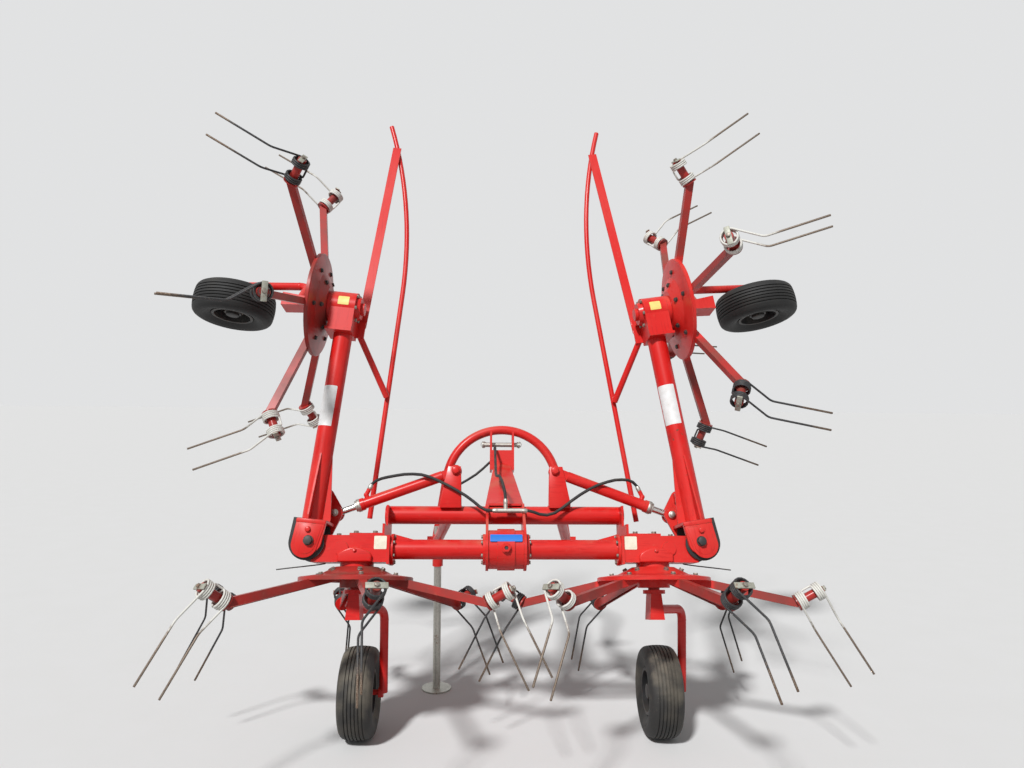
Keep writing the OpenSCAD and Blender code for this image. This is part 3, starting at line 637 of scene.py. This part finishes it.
def makeHose(name, settings):
    data = bpy.data.curves.new("hose_" + name + "_rubber", "CURVE")
    data.dimensions = "3D"
    data.bevel_depth = hoseSize["diameter"] / 2
    data.bevel_resolution = hoseSize["sides"]
    data.use_fill_caps = True
    spline = data.splines.new("POLY")
    points = [leanPlace @ Vector(point) for point in settings["route"]]
    spline.points.add(len(points) - 1)
    for target, point in zip(spline.points, points):
        target.co = (*point, 1.0)
    length = sum((b - a).length for a, b in zip(points, points[1:]))
    hose = bpy.data.objects.new("hose_" + name + "_rubber", data)
    bpy.context.scene.collection.objects.link(hose)
    data.materials.append(hoseRubber)
    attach(hose, "root")
    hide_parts("hose_" + name)
    ends = [standing(points[0], points[1] - points[0]), standing(points[-1], points[-2] - points[-1])]
    sleeves = spread(paint(turned(ferrule, "Z", 20), zincSteel), ends)
    fittings = [settle(sleeves, "hoseFerrules." + name, "root")]
    if settings["farEnd"] == "connector":
        plug = paint(turned(coupler, "Z", 28), zincSteel)
        plug = spread(plug, [standing(points[-1], points[-1] - points[-2])])
        fittings.append(settle(plug, "hoseCoupler", "root", 30, ["hose_coupler"]))
    print("hose", name, round(length, 3), "m")


for hoseName, hoseSettings in hoses.items():
    makeHose(hoseName, hoseSettings)


rotor = {
    "phase": {("inner", "left"): -15.0, ("inner", "right"): 15.0, ("outer", "left"): -18.0, ("outer", "right"): 3.0},
    "arms": 6,
}


# Places of a rotor's arms: each arm runs out along -Y from the rotor's axis
def armPlaces(side, row):
    basis = rotorPlace(side, row)
    phase = rotor["phase"][row, side]
    return [basis @ turnedBy(phase + 360 * index / rotor["arms"], "Z") for index in range(rotor["arms"])]


# Spring tines: one wire winds both coils of a pair and runs out into a tine from each
tine = {
    "wire": 0.009,
    "sides": 8,
    "coilRadius": 0.0345,
    "turns": 3.25,
    "stepsPerTurn": 16,
    "coilFrom": 0.0240,
    "pitch": 0.0089,
    "reach": (0.135, 0.250),
    "lean": (36.0, 1.0),
    "loopBend": 0.010,
    "knee": 0.050,
    "tipRound": 0.0012,
    "out": 0.644,
    "drop": 0.081,
    "rise": 28.0,
    "colours": {
        ("inner", "left"): "bwbbbw",
        ("inner", "right"): "bwbbbw",
        ("outer", "left"): "bbwbww",
        ("outer", "right"): "wwwbbb",
    },
}


# Half a pair: from the middle of the loop, up round a bend, through one coil and out into its tine
def modelHalfPair(settings):
    radius = settings["coilRadius"]
    leave = 180 + settings["lean"][0]
    startTurn = math.radians(leave - 360 * settings["turns"])
    onCoil = Vector((radius * math.cos(startTurn), 0, radius * math.sin(startTurn)))
    along = Vector((-math.sin(startTurn), 0, math.cos(startTurn)))
    bend = settings["loopBend"]
    start = onCoil - along * bend
    piece = begin(
        bpy.ops.mesh.primitive_circle_add,
        vertices=settings["sides"],
        radius=settings["wire"] / 2,
        fill_type="NGON",
        location=start,
        rotation=(math.radians(90), 0, 0),
    )
    bpy.ops.object.mode_set(mode="OBJECT")
    bpy.ops.object.transform_apply(location=True, rotation=True, scale=True)
    bpy.ops.object.mode_set(mode="EDIT")
    chooseAll("FACE")
    extend((0, settings["coilFrom"] - bend, 0))
    corner = start + Vector((0, settings["coilFrom"] - bend, 0)) + along * bend
    swing(4, 90, corner, Vector((0, 1, 0)).cross(along))
    steps = round(settings["turns"] * settings["stepsPerTurn"])
    turn = 360 * settings["turns"] / steps
    rise = settings["pitch"] * settings["turns"]
    for _ in range(steps):
        swing(1, -turn, (0, 0, 0), (0, 1, 0))
        bpy.ops.transform.translate(value=(0, rise / steps, 0))
    first, second = (math.radians(lean) for lean in settings["lean"])
    high, low = settings["reach"]
    knee = settings["knee"]
    cut = knee * math.tan((first - second) / 2)
    runOne = Vector((math.sin(first), 0, -math.cos(first)))
    runTwo = Vector((math.sin(second), 0, -math.cos(second)))
    extend(runOne * (high - cut))
    leaveTurn = math.radians(leave)
    end = Vector((radius * math.cos(leaveTurn), settings["coilFrom"] + rise, radius * math.sin(leaveTurn)))
    end += runOne * (high - cut)
    inward = Vector((-math.cos(first), 0, -math.sin(first)))
    swing(6, math.degrees(first - second), end + inward * knee, (0, 1, 0))
    extend(runTwo * (low - cut))
    bpy.ops.mesh.bevel(offset=settings["tipRound"], segments=1, affect="EDGES")
    choose(piece, "FACE", lambda face: abs(face.calc_center_median().y) < 0.0001 and len(face.verts) > 4)
    bpy.ops.mesh.delete(type="FACE")
    return done(piece)


def modelTinePair(settings):
    piece = modelHalfPair(settings)
    mirror = piece.modifiers.new("otherHalf", "MIRROR")
    mirror.use_axis = (False, True, False)
    mirror.merge_threshold = 0.0002
    bpy.ops.object.modifier_apply(modifier=mirror.name)
    bpy.ops.object.mode_set(mode="EDIT")
    outward()
    return done(piece)


def coilPlace(arm):
    return arm @ Matrix.Translation((0, -tine["out"], -tine["drop"])) @ turnedBy(-tine["rise"])


wirePaint = {
    (row, side, look): makeWire(f"wire.{look}.{row}.{side}", wireLooks[look], rotorPlace(side, row))
    for row, side in everyRotor
    for look in wireLooks
}
lookOf = {"b": "black", "w": "white"}

pairModel = modelTinePair(tine)
for (row, side), colours in tine["colours"].items():
    reverse = acrossBy(-1 if row == "outer" else 1)
    coils = []
    for letter, place in zip(colours, armPlaces(side, row)):
        pair = paint(copyOf(pairModel), wirePaint[row, side, lookOf[letter]])
        coils.append(spread(pair, [coilPlace(place) @ reverse]))
    coils = together(coils)
    settle(coils, f"springTines.{row}.{side}", f"rotor_{row}_{side}", 50, [f"tines_{row}_{side}"])
bpy.data.objects.remove(pairModel)
print("spring tines wound")


# Bolt heads: a hexagon on a washer, standing on Z
bolt = {"across": 0.019, "head": 0.0080, "edge": 0.0011, "washer": 0.0125, "washerThick": 0.0022}
flatsToRadius = 1.732


def modelBolt(settings, size=1.0, finish=boltSteel):
    thick = settings["washerThick"] * size
    head = settings["head"] * size
    wide = settings["washer"] * size
    hexagon = begin(
        bpy.ops.mesh.primitive_cylinder_add,
        vertices=6,
        radius=settings["across"] * size / flatsToRadius,
        depth=head,
        location=(0, 0, thick + head / 2),
    )
    bevelEdges(hexagon, settings["edge"] * size, 2)
    done(hexagon)
    washer = turned([(0, 0), (0, wide), (thick * 0.7, wide), (thick, wide * 0.95), (thick, 0)], "Z", 20)
    return paint(together([hexagon, washer]), finish)


def boltOn(name, body, places, size=1.0, finish=boltSteel, settings=bolt):
    settle(spread(modelBolt(settings, size, finish), places), name, body, 30)


# Bolts through each rotor's disc into its arms, one on the cone and one on the flat, by radius, height and slope
disc = {
    "bolts": [(0.122, 0.0285, (0.455, 0.89)), (0.182, 0.0075, (0.12, 1))],
    "size": 0.92,
    # The outer rotors' bolts are black paint, which is painted shade
    "finish": {"inner": boltSteel, "outer": blackPaint},
}
for row, side in everyRotor:
    places = [
        arm @ standing((0, -radius, height), (0, -slope[0], slope[1]))
        for arm in armPlaces(side, row)
        for radius, height, slope in disc["bolts"]
    ]
    boltOn(f"discBolts.{row}.{side}", f"rotor_{row}_{side}", places, disc["size"], disc["finish"][row])

# The plate strapped across the outer end of each coil pair, with its bolt
coilStrap = {"half": 0.0405, "width": 0.0235, "from": -0.0642, "to": -0.0577, "edge": 0.0022, "boltSize": 0.85}


def modelStrap(settings):
    low = (-settings["half"], settings["from"], -settings["width"] / 2)
    high = (settings["half"], settings["to"], settings["width"] / 2)
    plate = paint(box(low, high, settings["edge"]), strapSteel)
    head = spread(modelBolt(bolt, settings["boltSize"]), [standing((0, settings["from"], 0), (0, -1, 0))])
    return together([plate, head])


for row, side in everyRotor:
    straps = spread(modelStrap(coilStrap), [coilPlace(arm) for arm in armPlaces(side, row)])
    settle(straps, f"coilStraps.{row}.{side}", f"rotor_{row}_{side}")
print("disc bolts and coil straps set")

# Tyres: a ribbed section spun round the axle
tyre = {
    "radius": 0.205,
    "ribs": 7,
    "pitch": 0.0160,
    "groove": 0.0046,
    "depth": 0.0062,
    "slope": 0.0006,
    "edge": (0.0008, 0.0007),
    "crown": 0.0055,
    "wall": [
        (0.050, 0.1062), (0.0595, 0.1085), (0.0635, 0.1150), (0.0700, 0.1270), (0.0760, 0.1400), (0.0790, 0.1500),
        (0.0783, 0.1520), (0.0797, 0.1545), (0.0795, 0.1640), (0.0765, 0.1765), (0.0757, 0.1780), (0.0748, 0.1815),
        (0.0690, 0.1905), (0.0610, 0.1970),
    ],
    "steps": 80,
}


def tyreProfile(settings):
    half = settings["ribs"] * settings["pitch"] / 2
    wide, deep = settings["edge"]

    def crown(across):
        return settings["radius"] - settings["crown"] * (across / half) ** 2

    tread = []
    for rib in range(settings["ribs"]):
        low = -half + rib * settings["pitch"] + settings["groove"] / 2
        high = low + settings["pitch"] - settings["groove"]
        if rib:
            tread.append((low + settings["slope"], crown(low) - settings["depth"]))
        tread += [(low, crown(low) - deep), (low + wide, crown(low))]
        tread += [(high - wide, crown(high)), (high, crown(high) - deep)]
        if rib < settings["ribs"] - 1:
            tread.append((high - settings["slope"], crown(high) - settings["depth"]))
    left = [(-across, radius) for across, radius in settings["wall"]]
    right = list(reversed(settings["wall"]))
    return left + tread + right + [left[0]]


tyreModel = turned(tyreProfile(tyre), "X", tyre["steps"])
for row, side in everyRotor:
    wheel = spread(paint(copyOf(tyreModel), tyreRubber[row]), [wheelPlace(side, row)])
    settle(wheel, f"ribbedTyre.{row}.{side}", f"wheel_{row}_{side}", 38, [f"tyre_{row}_{side}"])
bpy.data.objects.remove(tyreModel)

# Wheel bolts on both faces of each rim, a grease cap over the axle's free end, and a valve. The faces are keyed by
# the way that they look along the axle
hub = {
    "boltRing": 0.066,
    "boltFaces": {1: -0.0058, -1: -0.0142},
    "bolts": 5,
    "boltTurn": 20,
    "boltSize": 0.95,
    "cap": [
        (0.0465, 0.0150), (0.0465, 0.0310), (0.0485, 0.0330), (0.0560, 0.0330), (0.0590, 0.0300), (0.0612, 0.0200),
        (0.0616, 0), (0.0600, 0), (0.0600, 0.0150), (0.0465, 0.0150),
    ],
    "capSide": {("inner", "left"): 1, ("inner", "right"): -1, ("outer", "left"): -1, ("outer", "right"): -1},
    "valve": [
        (0, 0), (0, 0.0055), (0.010, 0.0055), (0.013, 0.0035), (0.030, 0.0035), (0.031, 0.0046), (0.038, 0.0046),
        (0.038, 0),
    ],
    "valvePlace": Matrix.Translation((-0.006, 0.0, 0.084)) @ Matrix.Rotation(0.35, 4, "Y"),
}
for row, side in everyRotor:
    place = wheelPlace(side, row)
    body = f"wheel_{row}_{side}"
    places = [
        place @ standing((face, hub["boltRing"] * cosine, hub["boltRing"] * sine), (way, 0, 0))
        for way, face in hub["boltFaces"].items()
        for cosine, sine in ringTurns(hub["bolts"], hub["boltTurn"])
    ]
    boltOn(f"rimBolts.{row}.{side}", body, places, hub["boltSize"])
    cap = spread(paint(turned(hub["cap"], "X", 32), blackPaint), [place @ acrossBy(hub["capSide"][row, side])])
    settle(cap, f"hubCap.{row}.{side}", body)
    valve = spread(paint(turned(hub["valve"], "X", 12), hoseRubber), [place @ hub["valvePlace"]])
    settle(valve, f"tyreValve.{row}.{side}", body)
print("tyres and wheel hardware set")

# Bolts and plugs on the frame: points are across, ahead and above in the leaning frame
beamFlange = {"faces": {1: 0.1018, -1: 0.4906}, "ring": 0.0555, "above": 0.118, "bolts": 6, "turn": 30, "size": 0.72}
places = [
    framePlace(side)
    @ standing((face, beamFlange["ring"] * cosine, beamFlange["above"] + beamFlange["ring"] * sine), (way, 0, 0))
    for side in sides
    for way, face in beamFlange["faces"].items()
    for cosine, sine in ringTurns(beamFlange["bolts"], beamFlange["turn"])
]
boltOn("beamFlangeBolts", "root", places, beamFlange["size"])

seatBolts = {"above": 0.1846, "across": (0.572, 0.655), "ahead": (-0.034, 0.060), "size": 1.05}
places = [
    framePlace(side) @ standing((across, ahead, seatBolts["above"]), (0, 0, 1))
    for side in sides
    for across in seatBolts["across"]
    for ahead in seatBolts["ahead"]
]
boltOn("seatBolts", "root", places, seatBolts["size"])

# Plugs: the point and direction of each, and the profiles of the socketed one behind the middle gearbox, whose black
# disc at the bottom of the socket is painted shade
plugs = {
    "rear": ((0.0, -0.098, 0.118), (0, -1, 0)),
    "boss": ((0.650, -0.0895, 0.108), (0, -1, 0.35)),
    "bossSize": 0.75,
    "roof": ((0.730, -0.028, 0.1743), (0, 0, 1)),
    "ring": [
        (0, 0), (0, 0.0195), (0.0085, 0.0195), (0.0100, 0.0178), (0.0100, 0.0098), (0.0092, 0.0090), (0.0030, 0.0090),
        (0.0030, 0),
    ],
    "socket": [(0.0028, 0), (0.0028, 0.0098), (0.0045, 0.0098), (0.0046, 0.0090), (0.0046, 0)],
}
plugRing = paint(turned(plugs["ring"], "Z", 6), framePaint)
# A black disc at the bottom of the socket: painted shade in the recess
plugRing = together([plugRing, paint(turned(plugs["socket"], "Z", 16), blackPaint)])
settle(spread(plugRing, [leanPlace @ standing(*plugs["rear"])]), "gearboxPlug", "root", 30)
places = [framePlace(side) @ standing(*plugs["boss"]) for side in sides]
boltOn("bossPlugs", "root", places, plugs["bossSize"], framePaint)
boltOn("roofPlugs", "root", [framePlace(side) @ standing(*plugs["roof"]) for side in sides])

# The drop-shaped boss on each housing's rear face, above the rotor, round the boss plug
boss = {
    "outline": [
        (-0.072, 0.0605), (-0.074, 0.086), (-0.066, 0.099), (-0.048, 0.111), (-0.024, 0.1195), (0.0, 0.1225),
        (0.020, 0.1205), (0.044, 0.112), (0.074, 0.0965), (0.073, 0.0605),
    ],
    "across": 0.650,
    "from": -0.0690,
    "proud": 0.0210,
    "edge": 0.0075,
}


def modelBoss(settings):
    rear = settings["from"] - settings["proud"]

    def atRear(edge):
        return all(abs(vert.co.y - rear) < 0.0001 for vert in edge.verts)

    block = slab(settings["outline"], settings["from"], -settings["proud"], settings["edge"], 5, atRear)
    return paint(block, framePaint)


places = [framePlace(side) @ Matrix.Translation((boss["across"], 0, 0)) for side in sides]
settle(spread(modelBoss(boss), places), "housingBosses", "root", 50)

# Brackets of the fold cylinders: two plates on a saddle over the cross tube, upright inside and slanting outside.
# Their top and foot are measured from the pin
bracket = {
    "pin": (0.2315, 0.117, 0.4855),
    "top": (-0.0240, 0.0360, 0.0200),
    "foot": (-0.0290, 0.0700),
    "rear": {"from": 0.0903, "low": 0.3130},
    "front": {"from": 0.1337, "low": 0.3290},
    "thick": 0.0100,
    "edge": 0.0016,
    "saddle": {"ahead": (0.0920, 0.1940), "above": (0.3150, 0.3355), "edge": 0.0020},
    "pinProfile": [(-0.0360, 0), (-0.0360, 0.0108), (-0.0348, 0.0120), (0.0348, 0.0120), (0.0360, 0.0108), (0.0360, 0)],
}


def modelBracket(settings):
    across, ahead, up = settings["pin"]
    inner, outer, over = settings["top"]
    low, high = settings["foot"]
    rear, front = settings["saddle"]["ahead"]
    bottom, top = settings["saddle"]["above"]
    parts = []
    for plate in (settings["rear"], settings["front"]):
        outline = [
            (across + low, plate["low"]), (across + high, plate["low"]), (across + high, top),
            (across + outer, up + over), (across + inner, up + over),
        ]
        parts.append(slab(outline, plate["from"], settings["thick"], settings["edge"]))
    parts.append(box((across + low, rear, bottom), (across + high, front, top), settings["saddle"]["edge"]))
    pinPlace = Matrix.Translation(settings["pin"]) @ turnedBy(90, "Z")
    parts.append(spread(turned(settings["pinProfile"], "X", 28), [pinPlace]))
    return paint(together(parts), framePaint)


for side in sides:
    plates = spread(modelBracket(bracket), [framePlace(side)])
    settle(plates, f"cylinderBracket.{side}", "root", 35, [f"cylinder_bracket_{side}"])

# The fold cylinders' pins end in painted hexagons
cylinderPin = {"place": (0.2315, 0.081, 0.4855), "size": 1.55, "head": 0.0042}
places = [framePlace(side) @ standing(cylinderPin["place"], (0, -1, 0)) for side in sides]
flatBolt = {**bolt, "head": cylinderPin["head"]}
boltOn("cylinderPins", "root", places, cylinderPin["size"], framePaint, flatBolt)

# Linch pins through the ends of the headstock's top pin: a peg and its sprung wire loop
linch = {
    "peg": [(0, 0), (0, 0.0042), (0.036, 0.0042), (0.038, 0.0030), (0.038, 0)],
    "fromEnd": 0.009,
    "below": 0.019,
    "loop": 0.0165,
    "loopAbove": 0.020,
    "loopTurn": 18,
    "wire": 0.0016,
}


def modelLinch(settings):
    peg = turned(settings["peg"], "Z", 14)
    ring = begin(
        bpy.ops.mesh.primitive_torus_add,
        major_radius=settings["loop"],
        minor_radius=settings["wire"],
        major_segments=28,
        minor_segments=8,
        location=(0, 0, settings["loopAbove"]),
        rotation=(math.radians(90), 0, math.radians(settings["loopTurn"])),
    )
    return paint(together([peg, done(ring)]), zincSteel)


topLow, topHigh = (Vector(corner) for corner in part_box("top_pin"))
reach = (topHigh.x - topLow.x) / 2 - linch["fromEnd"]
places = [
    Matrix.Translation((topLow + topHigh) / 2 + Vector((way * reach, 0, -linch["below"]))) for way in (-1, 1)
]
settle(spread(modelLinch(linch), places), "linchPins", "root")
print("frame bolts set")

# Fold joints: on the rear ear a raised shield, a band across its top, the pin's black bolt and a painted one, and
# beside the housing two rubber plates. Bolts have a point and a size
hinge = {
    "face": -0.1000,
    "pin": ((0.0, -0.1100, 0.0), 1.75),
    "lock": ((0.046, -0.1052, -0.010), 1.05),
    "shield": {
        "radius": 0.0560, "centre": (-0.018, -0.016), "sweep": 165, "top": 0.078, "sides": (-0.0640, 0.0585),
        "thick": 0.0034,
    },
    "panel": {
        "radius": 0.0440, "centre": (-0.014, -0.013), "sweep": 163, "top": 0.066, "sides": (-0.0530, 0.0470),
        "thick": 0.0018,
    },
    "panelSunk": 0.1,
    "band": ((0.0730, -0.1052, -0.0655), (0.0895, -0.0996, 0.0610)),
    "bandEdge": 0.0012,
    "backing": {
        "radius": 0.0770, "centre": (-0.006, -0.0120), "sweep": 180, "top": 0.094, "sides": (-0.0830, 0.0405),
        "thick": 0.0058,
    },
    "backingFaces": (-0.0835, 0.0777),
    "plateEdge": 0.0009,
    "lug": (0.1447, 0.0770, 0.0555),
    "lugRing": [
        (0, 0), (0, 0.0165), (0.0030, 0.0165), (0.0040, 0.0150), (0.0040, 0.0125), (0.0120, 0.0115), (0.0130, 0.0100),
        (0.0130, 0),
    ],
}


# A plate with one round end below the hinge pin and straight sides up to its top
def modelShield(settings, face):
    radius = settings["radius"]
    across, over = settings["centre"]
    low, high = settings["sides"]
    sweep = math.radians(settings["sweep"])
    start = Vector((across, face, over - radius))
    end = Vector((across - radius * math.sin(sweep), face, over - radius * math.cos(sweep)))
    piece = drawn([Vector((settings["top"], face, low)), start])
    swing(18, settings["sweep"], (across, face, over), (0, 1, 0))
    bpy.ops.mesh.extrude_vertices_move(TRANSFORM_OT_translate={"value": Vector((settings["top"], face, high)) - end})
    return raisePlate(piece, settings["thick"], hinge["plateEdge"])


shieldFace = hinge["face"] - hinge["shield"]["thick"]
panelFace = shieldFace - hinge["panel"]["thick"] * (1 - hinge["panelSunk"])
for side in sides:
    basis = armPlace(side)
    arm = f"arm_{side}"
    layers = [modelShield(hinge["shield"], shieldFace), modelShield(hinge["panel"], panelFace)]
    plate = paint(together([*layers, box(*hinge["band"], hinge["bandEdge"])]), armPaint[side])
    settle(spread(plate, [basis]), f"hingeShield.{side}", arm)
    backings = [modelShield(hinge["backing"], face) for face in hinge["backingFaces"]]
    settle(spread(paint(together(backings), bootRubber), [basis]), f"hingeBoot.{side}", arm)
    point, size = hinge["pin"]
    boltOn(f"hingePin.{side}", arm, [basis @ standing(point, (0, -1, 0))], size, blackPaint)
    point, size = hinge["lock"]
    boltOn(f"hingeLock.{side}", arm, [basis @ standing(point, (0, -1, 0))], size, armPaint[side])
    ring = spread(turned(hinge["lugRing"], "Z", 24), [basis @ standing(hinge["lug"], (0, -1, 0))])
    settle(paint(ring, zincSteel), f"lugPin.{side}", arm)
print("fold joints dressed")

# The thin rods that stick out below the fold joints
strayRod = {
    "radius": 0.0028,
    "sides": 10,
    "route": [
        (0.790, 0.020, 0.0580), (0.815, 0.018, 0.0535), (0.850, 0.014, 0.0490), (0.900, 0.008, 0.0430),
        (0.950, 0.003, 0.0370), (0.998, 0.000, 0.0310),
    ],
}


def modelRod(settings):
    route = [Vector(point) for point in settings["route"]]
    rod = begin(
        bpy.ops.mesh.primitive_circle_add,
        vertices=settings["sides"],
        radius=settings["radius"],
        fill_type="NGON",
        location=route[0],
        rotation=(0, math.radians(90), 0),
    )
    chooseAll("FACE")
    for before, after in zip(route, route[1:]):
        extend(after - before)
    outward()
    bevelEdges(rod, settings["radius"] * 0.3, 1)
    return done(rod)


for side in sides:
    rod = paint(modelRod(strayRod), blackPaint)
    settle(spread(rod, [framePlace(side)]), f"strayRod.{side}", "root")

# Bolts in the covers of the outer gearboxes
coverBolts = {"out": 1.107, "above": 0.0262, "ring": 0.0655, "bolts": 6, "turn": 15, "size": 0.78}
for side in sides:
    middle = armPlace(side) @ Matrix.Translation((coverBolts["out"], 0, coverBolts["above"]))
    places = [
        middle @ standing((coverBolts["ring"] * cosine, coverBolts["ring"] * sine, 0), (0, 0, 1))
        for cosine, sine in ringTurns(coverBolts["bolts"], coverBolts["turn"])
    ]
    boltOn(f"coverBolts.{side}", f"arm_{side}", places, coverBolts["size"])

# Fold cylinders: the gland nut at the barrel's mouth, measured from the barrel's pin
gland = [
    (0.462, 0.0295), (0.4635, 0.0305), (0.4760, 0.0305), (0.4775, 0.0295), (0.4775, 0.0262), (0.4850, 0.0262),
    (0.4865, 0.0245), (0.4865, 0.0162), (0.470, 0.0156), (0.462, 0.0156), (0.462, 0.0295),
]


def cylinderPlace(side):
    across = jointAxis("rod_" + side)
    up = (frameUp - across * frameUp.dot(across)).normalized()
    return placeFrom(framePlace(side) @ Vector(bracket["pin"]), across, frameAhead, up)


for side in sides:
    nut = paint(turned(gland, "X", 32), zincSteel)
    settle(spread(nut, [cylinderPlace(side)]), f"cylinderGland.{side}", "root")
print("cylinders dressed")

# Blank patches where labels sit, each bent round the surface that it is on
creamLabel = makeSticker("creamLabel", colour(0.84, 0.81, 0.66), colour(0.62, 0.57, 0.42))
whiteLabel = makeSticker("whiteLabel", colour(0.82, 0.82, 0.82), colour(0.60, 0.58, 0.55))
yellowLabel = makeSticker("yellowLabel", colour(0.84, 0.70, 0.20), colour(0.62, 0.48, 0.16))
blueLabel = makeSticker("blueLabel", colour(0.008, 0.180, 0.680), colour(0.020, 0.150, 0.440))
labelThick = 0.0008
labelCorner = 0.004


def finishLabel(patch, thick=labelThick):
    choose(patch, "VERT", lambda vert: len(vert.link_edges) == 2)
    bpy.ops.mesh.bevel(offset=labelCorner, segments=3, affect="VERTICES")
    outward()
    sheet = done(patch).modifiers.new("sheet", "SOLIDIFY")
    sheet.thickness = thick
    sheet.offset = -1
    bpy.ops.object.modifier_apply(modifier=sheet.name)
    return patch


# Flat, facing backward
def modelFlatLabel(across, up):
    patch = begin(bpy.ops.mesh.primitive_plane_add, size=1, rotation=(math.radians(90), 0, 0))
    bpy.ops.transform.resize(value=(across, 1, up))
    return finishLabel(patch)


# Bent round the X axis, facing backward
def modelBentLabel(across, radius, degrees, thick=labelThick):
    patch = begin(bpy.ops.mesh.primitive_plane_add, size=1)
    choose(patch, "VERT", lambda vert: vert.co.y > 0)
    bpy.ops.mesh.delete(type="VERT")
    bpy.ops.mesh.select_all(action="SELECT")
    bpy.ops.transform.resize(value=(across, 1, 1))
    half = math.radians(degrees / 2)
    bpy.ops.transform.translate(value=(0, 0.5 - radius * math.cos(half), -radius * math.sin(half)))
    swing(max(4, round(degrees / 8)), -degrees, (0, 0, 0), (1, 0, 0))
    return finishLabel(patch, thick)


def label(name, body, patch, finish, place):
    settle(spread(paint(patch, finish), [place]), "label." + name, body)


# The bent ones have a width, a radius and the degrees that they cover, and are turned about their axis
labels = {
    "housing": {"place": (0.5435, -0.0703, 0.1425), "size": (0.054, 0.056)},
    "gearbox": {"above": 0.118, "bent": (0.140, 0.0908, 23, 0.0072), "turn": -30},
    "arm": {"out": {"left": 0.612, "right": 0.636}, "above": -0.022, "bent": (0.190, 0.0449, 112), "turn": -25},
    "outer": {"out": 1.107, "above": -0.030, "bent": (0.052, 0.0749, 34), "turn": -8},
}

flat = labels["housing"]
across, ahead, above = flat["place"]
for side in sides:
    place = leanPlace @ Matrix.Translation((sides[side] * across, ahead, above))
    label("housing." + side, "root", modelFlatLabel(*flat["size"]), creamLabel, place)

band = labels["gearbox"]
middle = Matrix.Translation((0, 0, band["above"]))
label("gearbox", "root", modelBentLabel(*band["bent"]), blueLabel, leanPlace @ middle @ turnedBy(band["turn"]))

band = labels["arm"]
for side in sides:
    middle = Matrix.Translation((band["out"][side], 0, band["above"]))
    place = armPlace(side) @ middle @ turnedBy(band["turn"] * sides[side])
    label("arm." + side, "arm_" + side, modelBentLabel(*band["bent"]), whiteLabel, place)

# On the outer gearboxes' round bosses, which stand along the rotors' axes
band = labels["outer"]
for side in sides:
    middle = Matrix.Translation((band["out"], 0, band["above"]))
    place = armPlace(side) @ middle @ turnedBy(90, "Y") @ turnedBy(band["turn"])
    label("outer." + side, "arm_" + side, modelBentLabel(*band["bent"]), yellowLabel, place)
print("labels set")


# Floor, sky and sun
studio = {
    "floorHalf": 60.0,
    "floorTone": 0.728,
    "floorLight": 0.40,
    "skyTone": (0.755, 0.76, 0.765, 1.0),
    "skyLight": 0.34,
    "sunPower": 3.4,
    "sunSoftness": 6.0,
    "sunTurn": (44.0, 6.0, -33.0),
}


# 1 for a ray that shows the backdrop, seen directly or in a reflection, and 0 for one that only lights the object
def seenRay(start):
    ways = [start.node("ShaderNodeLightPath", {}, {}, f"Is {way} Ray") for way in ("Camera", "Glossy", "Transmission")]
    return (ways[0] + ways[1] + ways[2]).atMost(1.0)


def makeStudio():
    bpy.ops.object.select_all(action="DESELECT")
    bpy.ops.mesh.primitive_plane_add(size=studio["floorHalf"] * 2)
    floor = bpy.context.object
    floor.name = "floor"
    material, coords = newMaterial("floorTone")
    tone = studio["floorTone"]
    dim = studio["floorLight"]
    pale = coords.noise(4.0, 3.0).blend(colour(tone, tone, tone), colour(tone * 0.97, tone * 0.97, tone * 0.96))
    surface(coords, seenRay(coords).blend(colour(dim, dim, dim), pale), 0.85, {})
    floor.data.materials.append(material)

    world = bpy.data.worlds.new("sky")
    bpy.context.scene.world = world
    world.use_nodes = True
    world.node_tree.nodes.clear()
    start = Signal(world.node_tree)
    strength = studio["skyLight"] + (1 - studio["skyLight"]) * seenRay(start)
    lit = start.node("ShaderNodeBackground", {}, {"Color": studio["skyTone"], "Strength": strength})
    start.node("ShaderNodeOutputWorld", {}, {"Surface": lit})

    lamp = bpy.data.lights.new("sun", "SUN")
    lamp.energy = studio["sunPower"]
    lamp.angle = math.radians(studio["sunSoftness"])
    sun = bpy.data.objects.new("sun", lamp)
    bpy.context.scene.collection.objects.link(sun)
    sun.rotation_euler = [math.radians(turn) for turn in studio["sunTurn"]]
    bpy.context.scene.view_settings.view_transform = "Standard"


makeStudio()
print("studio made")
